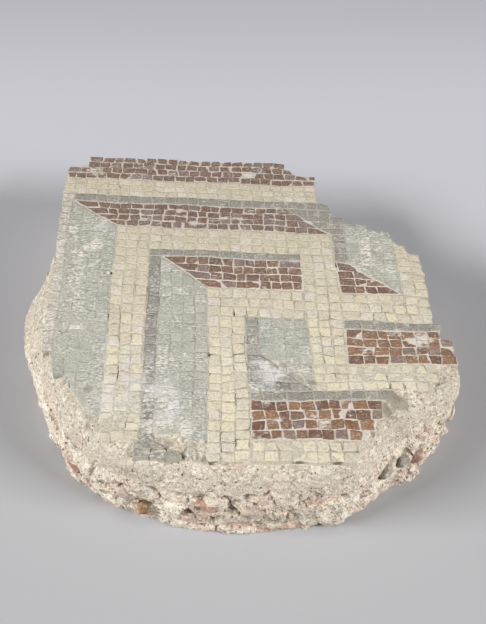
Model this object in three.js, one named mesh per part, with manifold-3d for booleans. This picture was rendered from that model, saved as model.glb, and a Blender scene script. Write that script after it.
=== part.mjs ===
// A fragment of a tessellated floor: part of a meander in red, cream, grey and green stone tesserae,
// pressed into a fine bedding mortar on a coarse rubble mortar, and broken off on every side.
// Units are millimetres, +Z is up and the tessera faces look up.
import * as THREE from "three";
import { mergeVertices } from "three/addons/utils/BufferGeometryUtils.js";
import Module from "manifold-3d";

const wasm = await Module();
wasm.setup();

// ---- driving dimensions -------------------------------------------------------------------------

const FACE = 64; // height of the tessera faces above the underside
const TESSERA_DEPTH = 9; // a tessera from its face to its seat in the mortar
const PITCH = 9.96; // one tessera with its joint, measured across the panel
const LEFT_EDGE = -162; // x of grid column line 0 at SETTING_Y
const SETTING_Y = 100; // y at which the column lines are set out
const BOW = 1.8; // how far the column lines bow to the right in the middle of the meander
const MEANDER_WIDTH = 24; // columns in that meander
const WIDE_COLUMN = 2.2; // the grey column right of it is laid this much wider
const LEAN_LENGTH = 230; // over this length towards the front,
const LEAN_LEFT = 4.5; // the left column lines lean this far to the right,
const LEAN_RIGHT = 8; // and the right ones this far
const BACK_SLOPE = -0.065; // fall of the back courses to the right
const FIT = 0.3; // clearance between neighbouring pieces
const FIELD_INSET = 0.045; // half of the joint between two fields, in grid steps
const POCKET_SPREAD = 0.04; // how far a pocket passes a field's own line, in grid steps
const GROOVE_DEPTH = 1.1; // V groove between two tesserae
const GROOVE_HALF = 0.65; // half the width of that groove
const SLIVER = 0.1; // joints closer together than this, in grid steps, are brought together
const FACE_WOBBLE = 0.25; // how far a tessera stands above or below the face plane
const MORTAR_DROP = 1; // mortar surface below the tessera faces
const BED_HEIGHT = 41; // mean height at which the fine mortar begins
const BED_WAVE = 3.5; // how far that border rises and falls
const WALL_WOBBLE = 1.3; // roughness of the broken walls
const PLATEAU = 0.93; // the mortar starts to fall off at this share of the way to the rim

// ---- small helpers ------------------------------------------------------------------------------

// A repeatable random number from 0 to 1.
function chance(seed) {
  const value = Math.sin(seed * 12.9898) * 43758.5453;
  return value - Math.floor(value);
}

const wobble = (seed, amount) => (chance(seed) - 0.5) * 2 * amount;
const mix = (a, b, t) => a + (b - a) * t;

function smoothStep(low, high, value) {
  const t = Math.min(Math.max((value - low) / (high - low), 0), 1);
  return t * t * (3 - 2 * t);
}

function insidePolygon(x, y, polygon) {
  let inside = false;
  polygon.forEach(([x1, y1], index) => {
    const [x0, y0] = polygon[(index + polygon.length - 1) % polygon.length];
    const crosses = y0 > y !== y1 > y && x < ((x1 - x0) * (y - y0)) / (y1 - y0) + x0;
    if (crosses) inside = !inside;
  });
  return inside;
}

// ---- solids -------------------------------------------------------------------------------------

// A closed solid from corner points and triangles of corner numbers, turned outwards if need be.
function solidFrom(points, triangles) {
  let volume = 0;
  for (const [a, b, c] of triangles) {
    const [p, q, r] = [points[a], points[b], points[c]];
    volume += p[0] * (q[1] * r[2] - q[2] * r[1]) - p[1] * (q[0] * r[2] - q[2] * r[0])
      + p[2] * (q[0] * r[1] - q[1] * r[0]);
  }
  const outward = volume > 0 ? triangles : triangles.map(([a, b, c]) => [a, c, b]);
  return new wasm.Manifold(new wasm.Mesh({
    numProp: 3,
    vertProperties: new Float32Array(points.flat()),
    triVerts: new Uint32Array(outward.flat()),
  }));
}

// A three.js geometry as a solid.
function solidOf(geometry) {
  const bare = geometry.clone();
  bare.deleteAttribute("normal");
  bare.deleteAttribute("uv");
  const merged = mergeVertices(bare, 1e-4);
  return new wasm.Manifold(new wasm.Mesh({
    numProp: 3,
    vertProperties: new Float32Array(merged.attributes.position.array),
    triVerts: new Uint32Array(merged.index.array),
  }));
}

function geometryOf(solid) {
  const mesh = solid.getMesh();
  const geometry = new THREE.BufferGeometry();
  geometry.setAttribute("position", new THREE.BufferAttribute(mesh.vertProperties, 3));
  geometry.setIndex(new THREE.BufferAttribute(mesh.triVerts, 1));
  return geometry;
}

// An upright prism over a convex outline.
function prism(outline, low, high) {
  const count = outline.length;
  const points = [low, high].flatMap((z) => outline.map(([x, y]) => [x, y, z]));
  const triangles = [];
  outline.forEach((_, index) => {
    const next = (index + 1) % count;
    triangles.push([index, next, count + next], [index, count + next, count + index]);
  });
  for (let k = 1; k < count - 1; k += 1) {
    triangles.push([0, k + 1, k], [count, count + k, count + k + 1]);
  }
  return solidFrom(points, triangles);
}

// ---- setting-out grid of the tesserae -----------------------------------------------------------

// Grid line numbers count tesserae: across from the left edge, and down from the back edge.
// The courses were laid by eye, so their depths differ: [line number, y at x = 0].
const ROW_LINES = [[0, 203], [4, 169.3], [7, 146], [8, 135.2], [12, 102.9], [15, 74.8], [16, 65.6],
  [20, 28.2], [24, -16], [28, -57.9], [31, -86.5], [32, -96.4], [36, -135.6], [38, -156.1]];

function rowHeight(line) {
  const last = ROW_LINES.length - 2;
  const found = ROW_LINES.findIndex(([number], index) => index > 0 && number >= line) - 1;
  const start = found < 0 ? last : found;
  const [[n0, y0], [n1, y1]] = [ROW_LINES[start], ROW_LINES[start + 1]];
  return mix(y0, y1, (line - n0) / (n1 - n0));
}

// The back courses fall away to the right; the front ones run level.
const rowSlope = (y) => BACK_SLOPE * smoothStep(-85, 25, y);

// The column lines lean to the right as they come forward, more so right of the middle.
const columnStart = (line) => LEFT_EDGE + PITCH * line
  + BOW * Math.sin(Math.PI * Math.min(line / MEANDER_WIDTH, 1))
  + WIDE_COLUMN * smoothStep(MEANDER_WIDTH, MEANDER_WIDTH + 1, line);
const columnLean = (line) => mix(LEAN_LEFT, LEAN_RIGHT, smoothStep(13, 18, line)) / LEAN_LENGTH;

function gridPoint([column, row]) {
  const y0 = rowHeight(row);
  const slope = rowSlope(y0);
  const lean = columnLean(column);
  const x = (columnStart(column) + lean * (SETTING_Y - y0)) / (1 + lean * slope);
  return [x, y0 + slope * x];
}

// The area where tesserae are kept, clockwise from the back left corner. Beyond it they are lost.
const KEPT = [[-165, 186], [-159, 188], [-158, 197], [-143, 200], [-141, 211], [-110, 210],
  [-20, 204], [36, 202], [37, 191], [50, 190], [51, 182], [69, 181], [69, 144], [79, 134],
  [81, 122], [100, 109], [122, 103], [137, 85], [140, 72], [148, 70], [154, 50], [149, 32],
  [151, -8], [162, -34], [170, -50], [170, -60], [148, -62], [145, -87], [122, -97], [104, -106],
  [96, -124], [88, -137], [77, -158], [-26, -158], [-44, -150], [-80, -150], [-99, -137],
  [-119, -105], [-133, -80], [-146, -60], [-157, -38], [-165, 0]];

// ---- fields of tesserae -------------------------------------------------------------------------

// Each field is a quad of grid lines, back left corner first and clockwise. Its courses run across
// ("x") or towards the front ("y"). Where run is more than 1, that many tesserae share one groove.
const FIELDS = [
  { name: "red_border", tone: "red", along: "x", corners: [[0, 0], [23.2, 0], [23.2, 4], [0, 4]] },
  { name: "cream_border", tone: "cream", along: "x", corners: [[0, 4], [23.1, 4], [23.1, 7], [0, 7]] },
  { name: "pale_column_left", tone: "pale", along: "y", corners: [[0, 7], [1, 7], [1, 30], [0, 30]] },
  { name: "grey_line_back", tone: "grey", along: "x", corners: [[1, 7], [24.2, 7], [24.2, 8], [1, 8]] },
  { name: "red_bar_back", tone: "red", along: "x", corners: [[1, 8], [20, 8], [24, 12], [5, 12]] },
  { name: "grey_corner_right", tone: "grey", along: "x",
    corners: [[20, 8], [25, 8], [25, 12], [24, 12]] },
  { name: "cream_bar_back", tone: "cream", along: "x", corners: [[5, 12], [24, 12], [24, 15], [5, 15]] },
  { name: "green_field_left", tone: "green", along: "y",
    corners: [[1, 8], [5, 12], [5, 34], [1, 30]] },
  { name: "cream_column_left", tone: "cream", along: "y",
    corners: [[5, 15], [8, 15], [8, 36], [5, 36]] },
  { name: "grey_line_inner", tone: "grey", along: "x", corners: [[8, 15], [21, 15], [21, 16], [8, 16]] },
  { name: "grey_column_inner", tone: "violet", along: "y",
    corners: [[8, 16], [9, 16], [9, 36], [8, 36]] },
  { name: "red_bar_inner", tone: "red", along: "x", corners: [[9, 16], [21, 16], [21, 20], [13, 20]] },
  { name: "green_band_inner", tone: "green", along: "y",
    corners: [[9, 16], [13, 20], [13, 36], [9, 36]] },
  { name: "grey_remnant_front", tone: "grey", along: "x",
    corners: [[7.6, 36], [12, 36], [12, 37.6], [7.6, 37.6]] },
  { name: "cream_bar_middle", tone: "cream", along: "x",
    corners: [[13, 20], [21, 20], [21, 23], [13, 23]] },
  { name: "cream_column_middle", tone: "cream", along: "y",
    corners: [[13, 23], [16, 23], [16, 38], [13, 38]] },
  { name: "grey_column_middle", tone: "violet", along: "y",
    corners: [[16, 23], [17, 23], [17, 27], [16, 27]] },
  { name: "green_block_middle", tone: "green", along: "y",
    corners: [[17, 23], [21, 23], [21, 31], [17, 27]] },
  { name: "grey_patch_middle", tone: "violet", along: "x",
    corners: [[16, 27], [17, 27], [21, 31], [16, 31]] },
  { name: "grey_line_front", tone: "grey", along: "x", corners: [[16, 31], [27, 31], [27, 32], [16, 32]] },
  { name: "red_bar_front", tone: "red", along: "x", corners: [[16, 32], [26, 32], [26, 36], [16, 36]] },
  { name: "cream_bar_front", tone: "cream", along: "x",
    corners: [[16, 36], [25, 36], [25, 38], [16, 38]] },
  { name: "cream_column_right", tone: "cream", along: "y",
    corners: [[21, 15], [24, 15], [24, 28], [21, 28]] },
  { name: "cream_bar_front_right", tone: "cream", along: "x",
    corners: [[21, 28], [30.6, 28], [30.6, 31], [21, 31]] },
  { name: "grey_column_right", tone: "grey", along: "y",
    corners: [[24, 12], [25, 12], [25, 16], [24, 16]] },
  { name: "green_field_right", tone: "green", along: "y",
    corners: [[25, 10], [29, 10], [29, 20], [25, 16]] },
  { name: "red_wedge_right", tone: "red", along: "x", corners: [[24, 16], [25, 16], [29, 20], [24, 20]] },
  { name: "cream_column_far_right", tone: "cream", along: "y",
    corners: [[29, 12], [31.2, 12], [31.2, 20], [29, 20]] },
  { name: "cream_bar_right", tone: "cream", along: "x",
    corners: [[24, 20], [31.2, 20], [31.2, 23], [24, 23]] },
  { name: "grey_line_right", tone: "grey", along: "x",
    corners: [[24, 23], [31.6, 23], [31.6, 24], [24, 24]] },
  { name: "red_bar_right", tone: "red", along: "x", corners: [[24, 24], [32.4, 24], [32.4, 28], [24, 28]] },
];

const TONES = {
  red: { color: 0x8d5a45, roughness: 0.75, run: 1 },
  cream: { color: 0xd6cba8, roughness: 0.8, run: 5 },
  pale: { color: 0xc9c6b4, roughness: 0.85, run: 2 },
  grey: { color: 0x95948a, roughness: 0.8, run: 4 },
  violet: { color: 0x97918f, roughness: 0.8, run: 4 },
  green: { color: 0xb0b5a6, roughness: 0.85, run: 7 },
};

// The quad moved inwards by the same distance on all four sides.
function insetQuad(corners, distance) {
  const edges = corners.map(([x0, y0], index) => {
    const [x1, y1] = corners[(index + 1) % 4];
    const length = Math.hypot(x1 - x0, y1 - y0);
    const [nx, ny] = [-(y1 - y0) / length, (x1 - x0) / length];
    return { nx, ny, offset: nx * x0 + ny * y0 + distance };
  });
  return edges.map((edge, index) => {
    const before = edges[(index + 3) % 4];
    const det = before.nx * edge.ny - before.ny * edge.nx;
    return [
      (before.offset * edge.ny - edge.offset * before.ny) / det,
      (before.nx * edge.offset - edge.nx * before.offset) / det,
    ];
  });
}

// The course lines of a field: where each starts and ends, in grid steps.
function courseLines({ along, corners }, inset) {
  const [backLeft, backRight, frontRight, frontLeft] = insetQuad(corners, inset);
  const across = along === "x";
  const starts = across ? [backLeft, frontLeft] : [backLeft, backRight];
  const ends = across ? [backRight, frontRight] : [frontLeft, frontRight];
  const axis = across ? 0 : 1;
  const depth = Math.abs(starts[1][1 - axis] - starts[0][1 - axis]);
  const count = Math.max(1, Math.round(depth));
  return Array.from({ length: count + 1 }, (_, index) => {
    const t = index / count;
    const level = mix(starts[0][1 - axis], starts[1][1 - axis], t);
    return {
      level,
      from: mix(starts[0][axis], starts[1][axis], t),
      to: mix(ends[0][axis], ends[1][axis], t),
      at: (place, shift = 0) => gridPoint(across ? [place, level + shift] : [level + shift, place]),
    };
  });
}

// Cuts the course between two lines into tesserae, and marks the ones inside the kept area.
function courseCells(upper, lower, seed) {
  const first = Math.max(upper.from, lower.from);
  const last = Math.min(upper.to, lower.to);
  const cuts = [[upper.from, lower.from]];
  const count = Math.max(1, Math.round(last - first));
  const stagger = wobble(seed, 0.22);
  for (let k = 1; k < count; k += 1) {
    const place = mix(first, last, k / count) + stagger + wobble(seed + k * 7.3, 0.12);
    cuts.push([place + wobble(seed + k, 0.05), place - wobble(seed + k, 0.05)]);
  }
  cuts.push([upper.to, lower.to]);
  return cuts.slice(1).map((end, index) => {
    const start = cuts[index];
    const [x0, y0] = upper.at((start[0] + end[0]) / 2);
    const [x1, y1] = lower.at((start[1] + end[1]) / 2);
    return { start, end, kept: insidePolygon((x0 + x1) / 2, (y0 + y1) / 2, KEPT) };
  });
}

// The longest row of kept tesserae in a course, with one groove round each run of them.
function keptRuns(cells, run) {
  const rows = [[]];
  for (const cell of cells) {
    if (cell.kept) rows[rows.length - 1].push(cell);
    else rows.push([]);
  }
  const row = rows.sort((a, b) => b.length - a.length)[0];
  const count = Math.ceil(row.length / run);
  return Array.from({ length: count }, (_, k) => {
    const first = Math.round((row.length * k) / count);
    const next = Math.round((row.length * (k + 1)) / count);
    return { start: row[first].start, end: row[next - 1].end, index: k };
  });
}

// Everything above the level on which the tesserae sit.
const ABOVE_SEAT = prism([[-300, -300], [300, -300], [300, 300], [-300, 300]],
  FACE - TESSERA_DEPTH + FIT, FACE + 20);

// Sorted places on one course line, with places closer than a sliver brought together.
function tidyPlaces(places) {
  const sorted = [...places].sort((a, b) => a - b);
  return sorted.filter((place, index) => index === 0 || place - sorted[index - 1] > SLIVER);
}

function nearestIndex(places, value) {
  let best = 0;
  places.forEach((place, index) => {
    if (Math.abs(place - value) < Math.abs(places[best] - value)) best = index;
  });
  return best;
}

// A field cut into courses, and each course into the cells that are kept.
function layField(field, number) {
  const lines = courseLines(field, FIELD_INSET);
  const courses = lines.slice(1).map((lower, k) => keptRuns(
    courseCells(lines[k], lower, number * 31.7 + k * 5.3 + 1), TONES[field.tone].run,
  ));
  return { lines, courses };
}

// One solid for a field: every cell has a raised face with a groove round it, on a common seat.
function fieldSolid({ lines, courses }, number) {
  const places = lines.map((_, k) => tidyPlaces([
    ...(courses[k - 1] ?? []).flatMap((cell) => [cell.start[1], cell.end[1]]),
    ...(courses[k] ?? []).flatMap((cell) => [cell.start[0], cell.end[0]]),
  ]));
  const points = [];
  const triangles = [];
  const corner = new Map(); // place on a line -> number of its groove point; its seat point follows
  const cornerAt = (k, index) => {
    const key = `${k}:${index}`;
    if (!corner.has(key)) {
      const [x, y] = lines[k].at(places[k][index]);
      corner.set(key, points.length);
      points.push([x, y, FACE - GROOVE_DEPTH], [x, y, FACE - TESSERA_DEPTH]);
    }
    return corner.get(key);
  };
  const edges = new Map();

  courses.forEach((runs, k) => runs.forEach((cell) => {
    const range = (line, from, to) => {
      const first = nearestIndex(places[line], from);
      const last = nearestIndex(places[line], to);
      return Array.from({ length: last - first + 1 }, (_, m) => cornerAt(line, first + m));
    };
    const upper = range(k, cell.start[0], cell.end[0]);
    const lower = range(k + 1, cell.start[1], cell.end[1]).reverse();
    const right = [upper[upper.length - 1], lower[0]];
    const left = [lower[lower.length - 1], upper[0]];
    const sides = [upper, right, lower, left];
    const outline = [...upper, ...lower];
    const top = FACE + wobble(number * 3.1 + k * 17.7 + cell.index, FACE_WOBBLE);

    // Four corners of the face, drawn in from the groove.
    const outer = sides.map((side) => points[side[0]]);
    const inner = outer.map((point, m) => {
      const drawn = [point[0], point[1], top];
      for (const other of [outer[(m + 1) % 4], outer[(m + 3) % 4]]) {
        const [dx, dy] = [other[0] - point[0], other[1] - point[1]];
        const reach = GROOVE_HALF / Math.max(Math.hypot(dx, dy), GROOVE_HALF * 4);
        drawn[0] += dx * reach;
        drawn[1] += dy * reach;
      }
      points.push(drawn);
      return points.length - 1;
    });
    triangles.push([inner[0], inner[1], inner[2]], [inner[0], inner[2], inner[3]]);
    sides.forEach((side, m) => {
      const [near, far] = [inner[m], inner[(m + 1) % 4]];
      for (let n = 0; n < side.length - 1; n += 1) {
        triangles.push([side[n], side[n + 1], near]);
        edges.set(`${side[n]}>${side[n + 1]}`, [side[n], side[n + 1]]);
      }
      triangles.push([near, side[side.length - 1], far]);
    });

    // The seat below the cell, as a fan round its middle.
    const middle = [0, 1].map((axis) => outer.reduce((sum, point) => sum + point[axis], 0) / 4);
    points.push([...middle, FACE - TESSERA_DEPTH]);
    const hub = points.length - 1;
    outline.forEach((here, m) => {
      triangles.push([outline[(m + 1) % outline.length] + 1, here + 1, hub]);
    });
  }));

  // Walls only where no neighbouring cell follows.
  for (const [a, b] of edges.values()) {
    if (!edges.has(`${b}>${a}`)) triangles.push([b, a, a + 1], [b, a + 1, b + 1]);
  }
  // One level cut gives all cells the same flat seat.
  return solidFrom(points, triangles).intersect(ABOVE_SEAT);
}

// The room that a field needs in the mortar: one prism for each course.
function fieldPockets({ lines, courses }) {
  const spread = FIELD_INSET + POCKET_SPREAD;
  return courses.flatMap((runs, k) => {
    if (runs.length === 0) return [];
    const [upper, lower] = [lines[k], lines[k + 1]];
    const [first, last] = [runs[0], runs[runs.length - 1]];
    const shift = Math.sign(lower.level - upper.level) * spread;
    const outline = [
      upper.at(first.start[0] - spread, -shift),
      upper.at(last.end[0] + spread, -shift),
      lower.at(last.end[1] + spread, shift),
      lower.at(first.start[1] - spread, shift),
    ];
    return [prism(outline, FACE - TESSERA_DEPTH, FACE + 20)];
  });
}

// ---- mortar body --------------------------------------------------------------------------------

// Stations round the broken rim, clockwise from the back left corner: x and y of the rim, how far
// it lies below the faces, and how far the wall stands out from it a third and two thirds of the
// way down, and at the foot.
const RIM = [
  [-162, 176, 9, 2, 1, -5], [-156, 196, 9, 1, 0, -6], [-132, 208, 9, 1, 0, -8],
  [-90, 206, 9, 1, 0, -6], [-50, 203, 9, 2, 1, -7], [-8, 201, 9, 1, 0, -8],
  [32, 196, 9, 1, 0, -8], [54, 182, 9, 0, -2, -9], [67, 158, 9, 1, 0, -8],
  [80, 128, 9, 1, 0, -8], [108, 105, 9, 1, 0, -8], [132, 90, 9, 0, -2, -9],
  [148, 66, 8, 0, -2, -9], [149, 36, 8, 1, -1, -9], [149, 2, 8, 3, 2, -7],
  [158, -28, 8, 3, 1, -7], [168, -50, 5, 3, 1, -8], [168, -68, 6, 1, -8, -9],
  [152, -88, 5, 6, 6, 3], [126, -101, 4, 10, 16, 16], [107, -112, 4, 12, 22, 22],
  [94, -134, 4, 9, 13, 11], [78, -160, 4, 3, 3, 1], [45, -162, 3, 5, 7, 6],
  [10, -162, 3, 8, 12, 11], [-22, -161, 3, 8, 11, 8], [-48, -154, 3, 9, 14, 11],
  [-80, -153, 4, 3, 4, 2], [-104, -137, 4, 8, 12, 6], [-121, -109, 4, 13, 20, 16],
  [-139, -78, 4, 9, 13, 12], [-155, -46, 4, 9, 9, 7], [-163, -14, 4, 14, 12, 8],
  [-164, 20, 4, 18, 18, 8], [-164, 50, 5, 11, 9, 2], [-163, 85, 6, 2, 2, -3],
  [-163, 130, 8, 2, 1, -5],
];
const RINGS = [0, 1 / 3, 2 / 3, 1]; // shares of the height, from the rim down
const RING_SAMPLES = 2; // corners of the outline for each station

// How far the wall stands out at a share of its height, through the three stated distances.
function wallReach(shoulder, belly, foot, share) {
  const knots = [0, shoulder, belly, foot];
  const place = Math.min(share * 3, 2.999);
  const k = Math.floor(place);
  return mix(knots[k], knots[k + 1], place - k);
}

const rimCurve = new THREE.CatmullRomCurve3(
  RIM.map(([x, y, drop]) => new THREE.Vector3(x, y, drop)), true, "centripetal");
const reachCurve = new THREE.CatmullRomCurve3(
  RIM.map((row) => new THREE.Vector3(...row.slice(3))), true, "catmullrom", 0.4);

// The point of the wall at a station, a share of the height down; extra moves it further out.
function wallPoint(station, share, extra = 0) {
  const turn = (place) => ((place / RIM.length) % 1 + 1) % 1;
  const rim = rimCurve.getPoint(turn(station));
  const along = rimCurve.getPoint(turn(station + 0.15)).sub(rimCurve.getPoint(turn(station - 0.15)));
  along.setZ(0).normalize();
  const out = reachCurve.getPoint(turn(station));
  const distance = wallReach(out.x, out.y, out.z, share) + extra;
  return {
    point: [rim.x - along.y * distance, rim.y + along.x * distance, (FACE - rim.z) * (1 - share)],
    bearing: Math.atan2(along.x, -along.y),
  };
}

function mortarBody() {
  const around = RIM.length * RING_SAMPLES;
  const points = [];
  RINGS.forEach((share, ring) => {
    for (let k = 0; k < around; k += 1) {
      const rough = wobble(ring * 91 + k * 3.7, ring === 0 ? 0.5 : WALL_WOBBLE);
      points.push(wallPoint(k / RING_SAMPLES, share, rough).point);
    }
  });
  const shelf = points.length;
  for (let k = 0; k < around; k += 1) {
    points.push([points[k][0] * PLATEAU, points[k][1] * PLATEAU, FACE - MORTAR_DROP]);
  }
  const topHub = points.length;
  points.push([0, 0, FACE - MORTAR_DROP], [0, 0, 0]);

  const triangles = [];
  const band = (upper, lower) => {
    for (let k = 0; k < around; k += 1) {
      const next = (k + 1) % around;
      triangles.push([upper + k, upper + next, lower + k], [upper + next, lower + next, lower + k]);
    }
  };
  band(shelf, 0);
  for (let ring = 1; ring < RINGS.length; ring += 1) band((ring - 1) * around, ring * around);
  const foot = (RINGS.length - 1) * around;
  for (let k = 0; k < around; k += 1) {
    const next = (k + 1) % around;
    triangles.push([topHub, shelf + next, shelf + k], [topHub + 1, foot + k, foot + next]);
  }
  return solidFrom(points, triangles);
}

// A block with a wavy top at the border of the two mortars, moved up by a clearance.
function underBorder(clearance) {
  const size = 440;
  const block = new THREE.BoxGeometry(size, size, 60, 7, 7, 1);
  const position = block.attributes.position;
  for (let k = 0; k < position.count; k += 1) {
    if (position.getZ(k) > 0) {
      const [x, y] = [position.getX(k), position.getY(k)];
      const wave = Math.sin(x * 0.051 + 1) * Math.cos(y * 0.043) + wobble(x * 0.37 + y * 0.11, 0.5);
      position.setZ(k, BED_HEIGHT + BED_WAVE * wave + clearance);
    } else {
      position.setZ(k, -20);
    }
  }
  return solidOf(block);
}

// ---- inclusions ---------------------------------------------------------------------------------

// Stones and crushed brick that stand out of the broken faces: the rim station above them, their
// height, and half their size out from the wall, along it and upwards.
const INCLUSIONS = [
  { name: "brown_pebble", station: 26.8, height: 11, half: [6, 5, 6], color: 0xa9805a },
  { name: "pink_stone", station: 27.2, height: 24, half: [6, 10, 7], color: 0xbfae9c },
  { name: "brick_chip_left", station: 28.6, height: 26, half: [6, 9, 3.5], color: 0xa86f55 },
  { name: "brick_chip_front", station: 25.1, height: 30, half: [7, 10, 3.5], color: 0xb07d68 },
  { name: "grey_stone_front", station: 24.1, height: 24, half: [7, 9, 6], color: 0xa09488 },
  { name: "brick_chip_right", station: 18.95, height: 19, half: [6, 7, 8], color: 0xb5745c },
  { name: "grey_stone_right", station: 19.75, height: 24, half: [6, 7, 6], color: 0x9a948a },
  { name: "flat_stone_right", station: 20.75, height: 27, half: [5, 9, 6], color: 0xb3aa9b },
];
const STONE_PROUD = 2.5; // how far an inclusion stands out of the wall

// A broken stone: an icosahedron with uneven corners.
function stoneSolid({ station, height, half }, seed, clearance) {
  const geometry = new THREE.IcosahedronGeometry(1, 1);
  const position = geometry.attributes.position;
  const { point, bearing } = wallPoint(station, 1 - height / FACE, STONE_PROUD - half[0]);
  const placed = new THREE.Matrix4().makeRotationZ(bearing).setPosition(point[0], point[1], height);
  for (let k = 0; k < position.count; k += 1) {
    const corner = new THREE.Vector3().fromBufferAttribute(position, k);
    const key = Math.round(corner.x * 50) * 1.3 + Math.round(corner.y * 50) * 2.1
      + Math.round(corner.z * 50) * 3.7;
    const uneven = 1 + wobble(seed + key, 0.12);
    corner.set(
      corner.x * (half[0] * uneven + clearance),
      corner.y * (half[1] * uneven + clearance),
      corner.z * (half[2] * uneven + clearance),
    );
    corner.applyMatrix4(placed);
    position.setXYZ(k, corner.x, corner.y, corner.z);
  }
  return solidOf(geometry);
}

// ---- assembly -----------------------------------------------------------------------------------

const panel = new THREE.Group();

function addPiece(name, solid, color, roughness) {
  const material = new THREE.MeshStandardMaterial({ color, roughness, metalness: 0 });
  material.flatShading = true;
  const mesh = new THREE.Mesh(geometryOf(solid), material);
  mesh.name = name;
  panel.add(mesh);
}

const body = mortarBody();
const laid = FIELDS.map(layField);
const pockets = laid.flatMap(fieldPockets);
const stonePockets = INCLUSIONS.map((stone, index) => stoneSolid(stone, index * 9 + 1, FIT * 1.4));

const rubble = stonePockets.reduce((left, pocket) => left.subtract(pocket),
  body.intersect(underBorder(0)));
const bedding = [...pockets, ...stonePockets].reduce((left, pocket) => left.subtract(pocket),
  body.subtract(underBorder(FIT)));

addPiece("rubble_mortar", rubble, 0xbdb3a0, 0.95);
addPiece("bedding_mortar", bedding, 0xc6bfae, 0.92);
INCLUSIONS.forEach((stone, index) => {
  addPiece(stone.name, stoneSolid(stone, index * 9 + 1, 0), stone.color, 0.8);
});
FIELDS.forEach((field, number) => {
  const { color, roughness } = TONES[field.tone];
  addPiece(field.name, fieldSolid(laid[number], number), color, roughness);
});

// The origin is the middle of the underside.
const bounds = new THREE.Box3().setFromObject(panel);
const middle = bounds.getCenter(new THREE.Vector3());
panel.position.set(-middle.x, -middle.y, -bounds.min.z);

export default panel;
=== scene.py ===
# %% [markdown]
# # A fragment of a tessellated floor
# This piece was cut out of a Roman kind of floor. Small stone blocks, the tesserae, are pressed into a
# fine bedding mortar, which lies on a coarse mortar full of crushed brick and gravel. Everything is in
# metres in the end, but the floor is set out in millimetres, because that is how a mason would
# measure it. The solid model is loaded first, as a frame that no piece may leave.

# %% Load the frame
import math

import bmesh
import bpy
import numpy as np
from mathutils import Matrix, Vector


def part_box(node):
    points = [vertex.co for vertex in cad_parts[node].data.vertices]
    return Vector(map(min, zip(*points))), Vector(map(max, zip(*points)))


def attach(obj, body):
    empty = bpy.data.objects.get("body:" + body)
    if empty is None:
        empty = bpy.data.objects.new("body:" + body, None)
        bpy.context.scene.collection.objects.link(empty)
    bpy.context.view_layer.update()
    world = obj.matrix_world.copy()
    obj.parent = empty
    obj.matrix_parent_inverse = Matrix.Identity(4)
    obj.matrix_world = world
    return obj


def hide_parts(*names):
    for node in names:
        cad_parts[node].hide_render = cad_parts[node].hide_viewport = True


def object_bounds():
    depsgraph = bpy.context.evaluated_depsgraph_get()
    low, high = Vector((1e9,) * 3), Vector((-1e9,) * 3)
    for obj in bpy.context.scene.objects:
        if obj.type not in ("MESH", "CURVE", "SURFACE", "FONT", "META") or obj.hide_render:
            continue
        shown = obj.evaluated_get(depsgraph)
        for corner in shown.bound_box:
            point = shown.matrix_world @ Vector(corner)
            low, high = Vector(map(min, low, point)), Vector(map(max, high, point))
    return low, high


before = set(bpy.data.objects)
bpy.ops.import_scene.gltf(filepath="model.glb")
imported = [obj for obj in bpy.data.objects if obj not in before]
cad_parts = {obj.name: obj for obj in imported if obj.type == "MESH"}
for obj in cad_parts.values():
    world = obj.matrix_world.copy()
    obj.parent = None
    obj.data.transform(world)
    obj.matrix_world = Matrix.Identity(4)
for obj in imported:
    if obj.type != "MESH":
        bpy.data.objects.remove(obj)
cad_low, cad_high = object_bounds()
MM = 0.001
print("solid model from", [round(v, 4) for v in cad_low], "to", [round(v, 4) for v in cad_high])

# %% [markdown]
# ## Repeatable chance
# No two tesserae are alike, yet the scene must come out the same every time. So each random number
# is worked out from a seed with a sine, instead of being drawn from a generator. The solid model used
# the same formula, and the joints fall in the same places here as there.

# %% Small helpers
def chance(seed):
    """A number from 0 to 1 that always belongs to the same seed."""
    value = np.sin(np.asarray(seed, float) * 12.9898) * 43758.5453
    return value - np.floor(value)


def wobble(seed, amount):
    return (chance(seed) - 0.5) * 2 * amount


def mix(start, end, share):
    return start + (end - start) * share


def smooth_step(low, high, value):
    t = np.clip((np.asarray(value, float) - low) / (high - low), 0, 1)
    return t * t * (3 - 2 * t)


def inside_polygon(x, y, polygon):
    """True where a point lies inside a closed outline; x and y may be whole arrays."""
    x = np.asarray(x, float)
    y = np.asarray(y, float)
    inside = np.zeros(x.shape, bool)
    for index, (x1, y1) in enumerate(polygon):
        x0, y0 = polygon[index - 1]
        straddles = (y0 > y) != (y1 > y)
        rise = (y1 - y0) if y1 != y0 else 1e-9
        crosses = straddles & (x < (x1 - x0) * (y - y0) / rise + x0)
        inside ^= crosses
    return inside


print("the seeds 1, 2 and 3 always give", chance([1, 2, 3]).round(3))


# %% [markdown]
# ## The setting-out grid
# The mosaicist stretched strings and laid the courses by eye, so the rows differ in depth, fall away to
# the right at the back, and the columns lean. One function turns a grid place (column, row) into
# millimetres, and every tessera uses it. Bending one grid is easier than placing a thousand stones.

# %% Grid of columns and rows
FACE = 64.0
PITCH = 9.96
LEFT_EDGE = -162
ROW_LINES = [
    (0, 203), (4, 169.3), (7, 146), (8, 135.2), (12, 102.9), (15, 74.8), (16, 65.6), (20, 28.2),
    (24, -16), (28, -57.9), (31, -86.5), (32, -96.4), (36, -135.6), (38, -156.1), (40, -176.6),
]
ROW_NUMBERS, ROW_HEIGHTS = np.array(ROW_LINES, float).T


def row_height(row):
    return np.interp(row, ROW_NUMBERS, ROW_HEIGHTS)


def row_slope(y):
    return -0.065 * smooth_step(-85, 25, y)


def column_start(column):
    column = np.asarray(column, float)
    bow = 1.8 * np.sin(np.pi * np.minimum(column / 24, 1))
    return LEFT_EDGE + PITCH * column + bow + 2.2 * smooth_step(24, 25, column)


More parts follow.
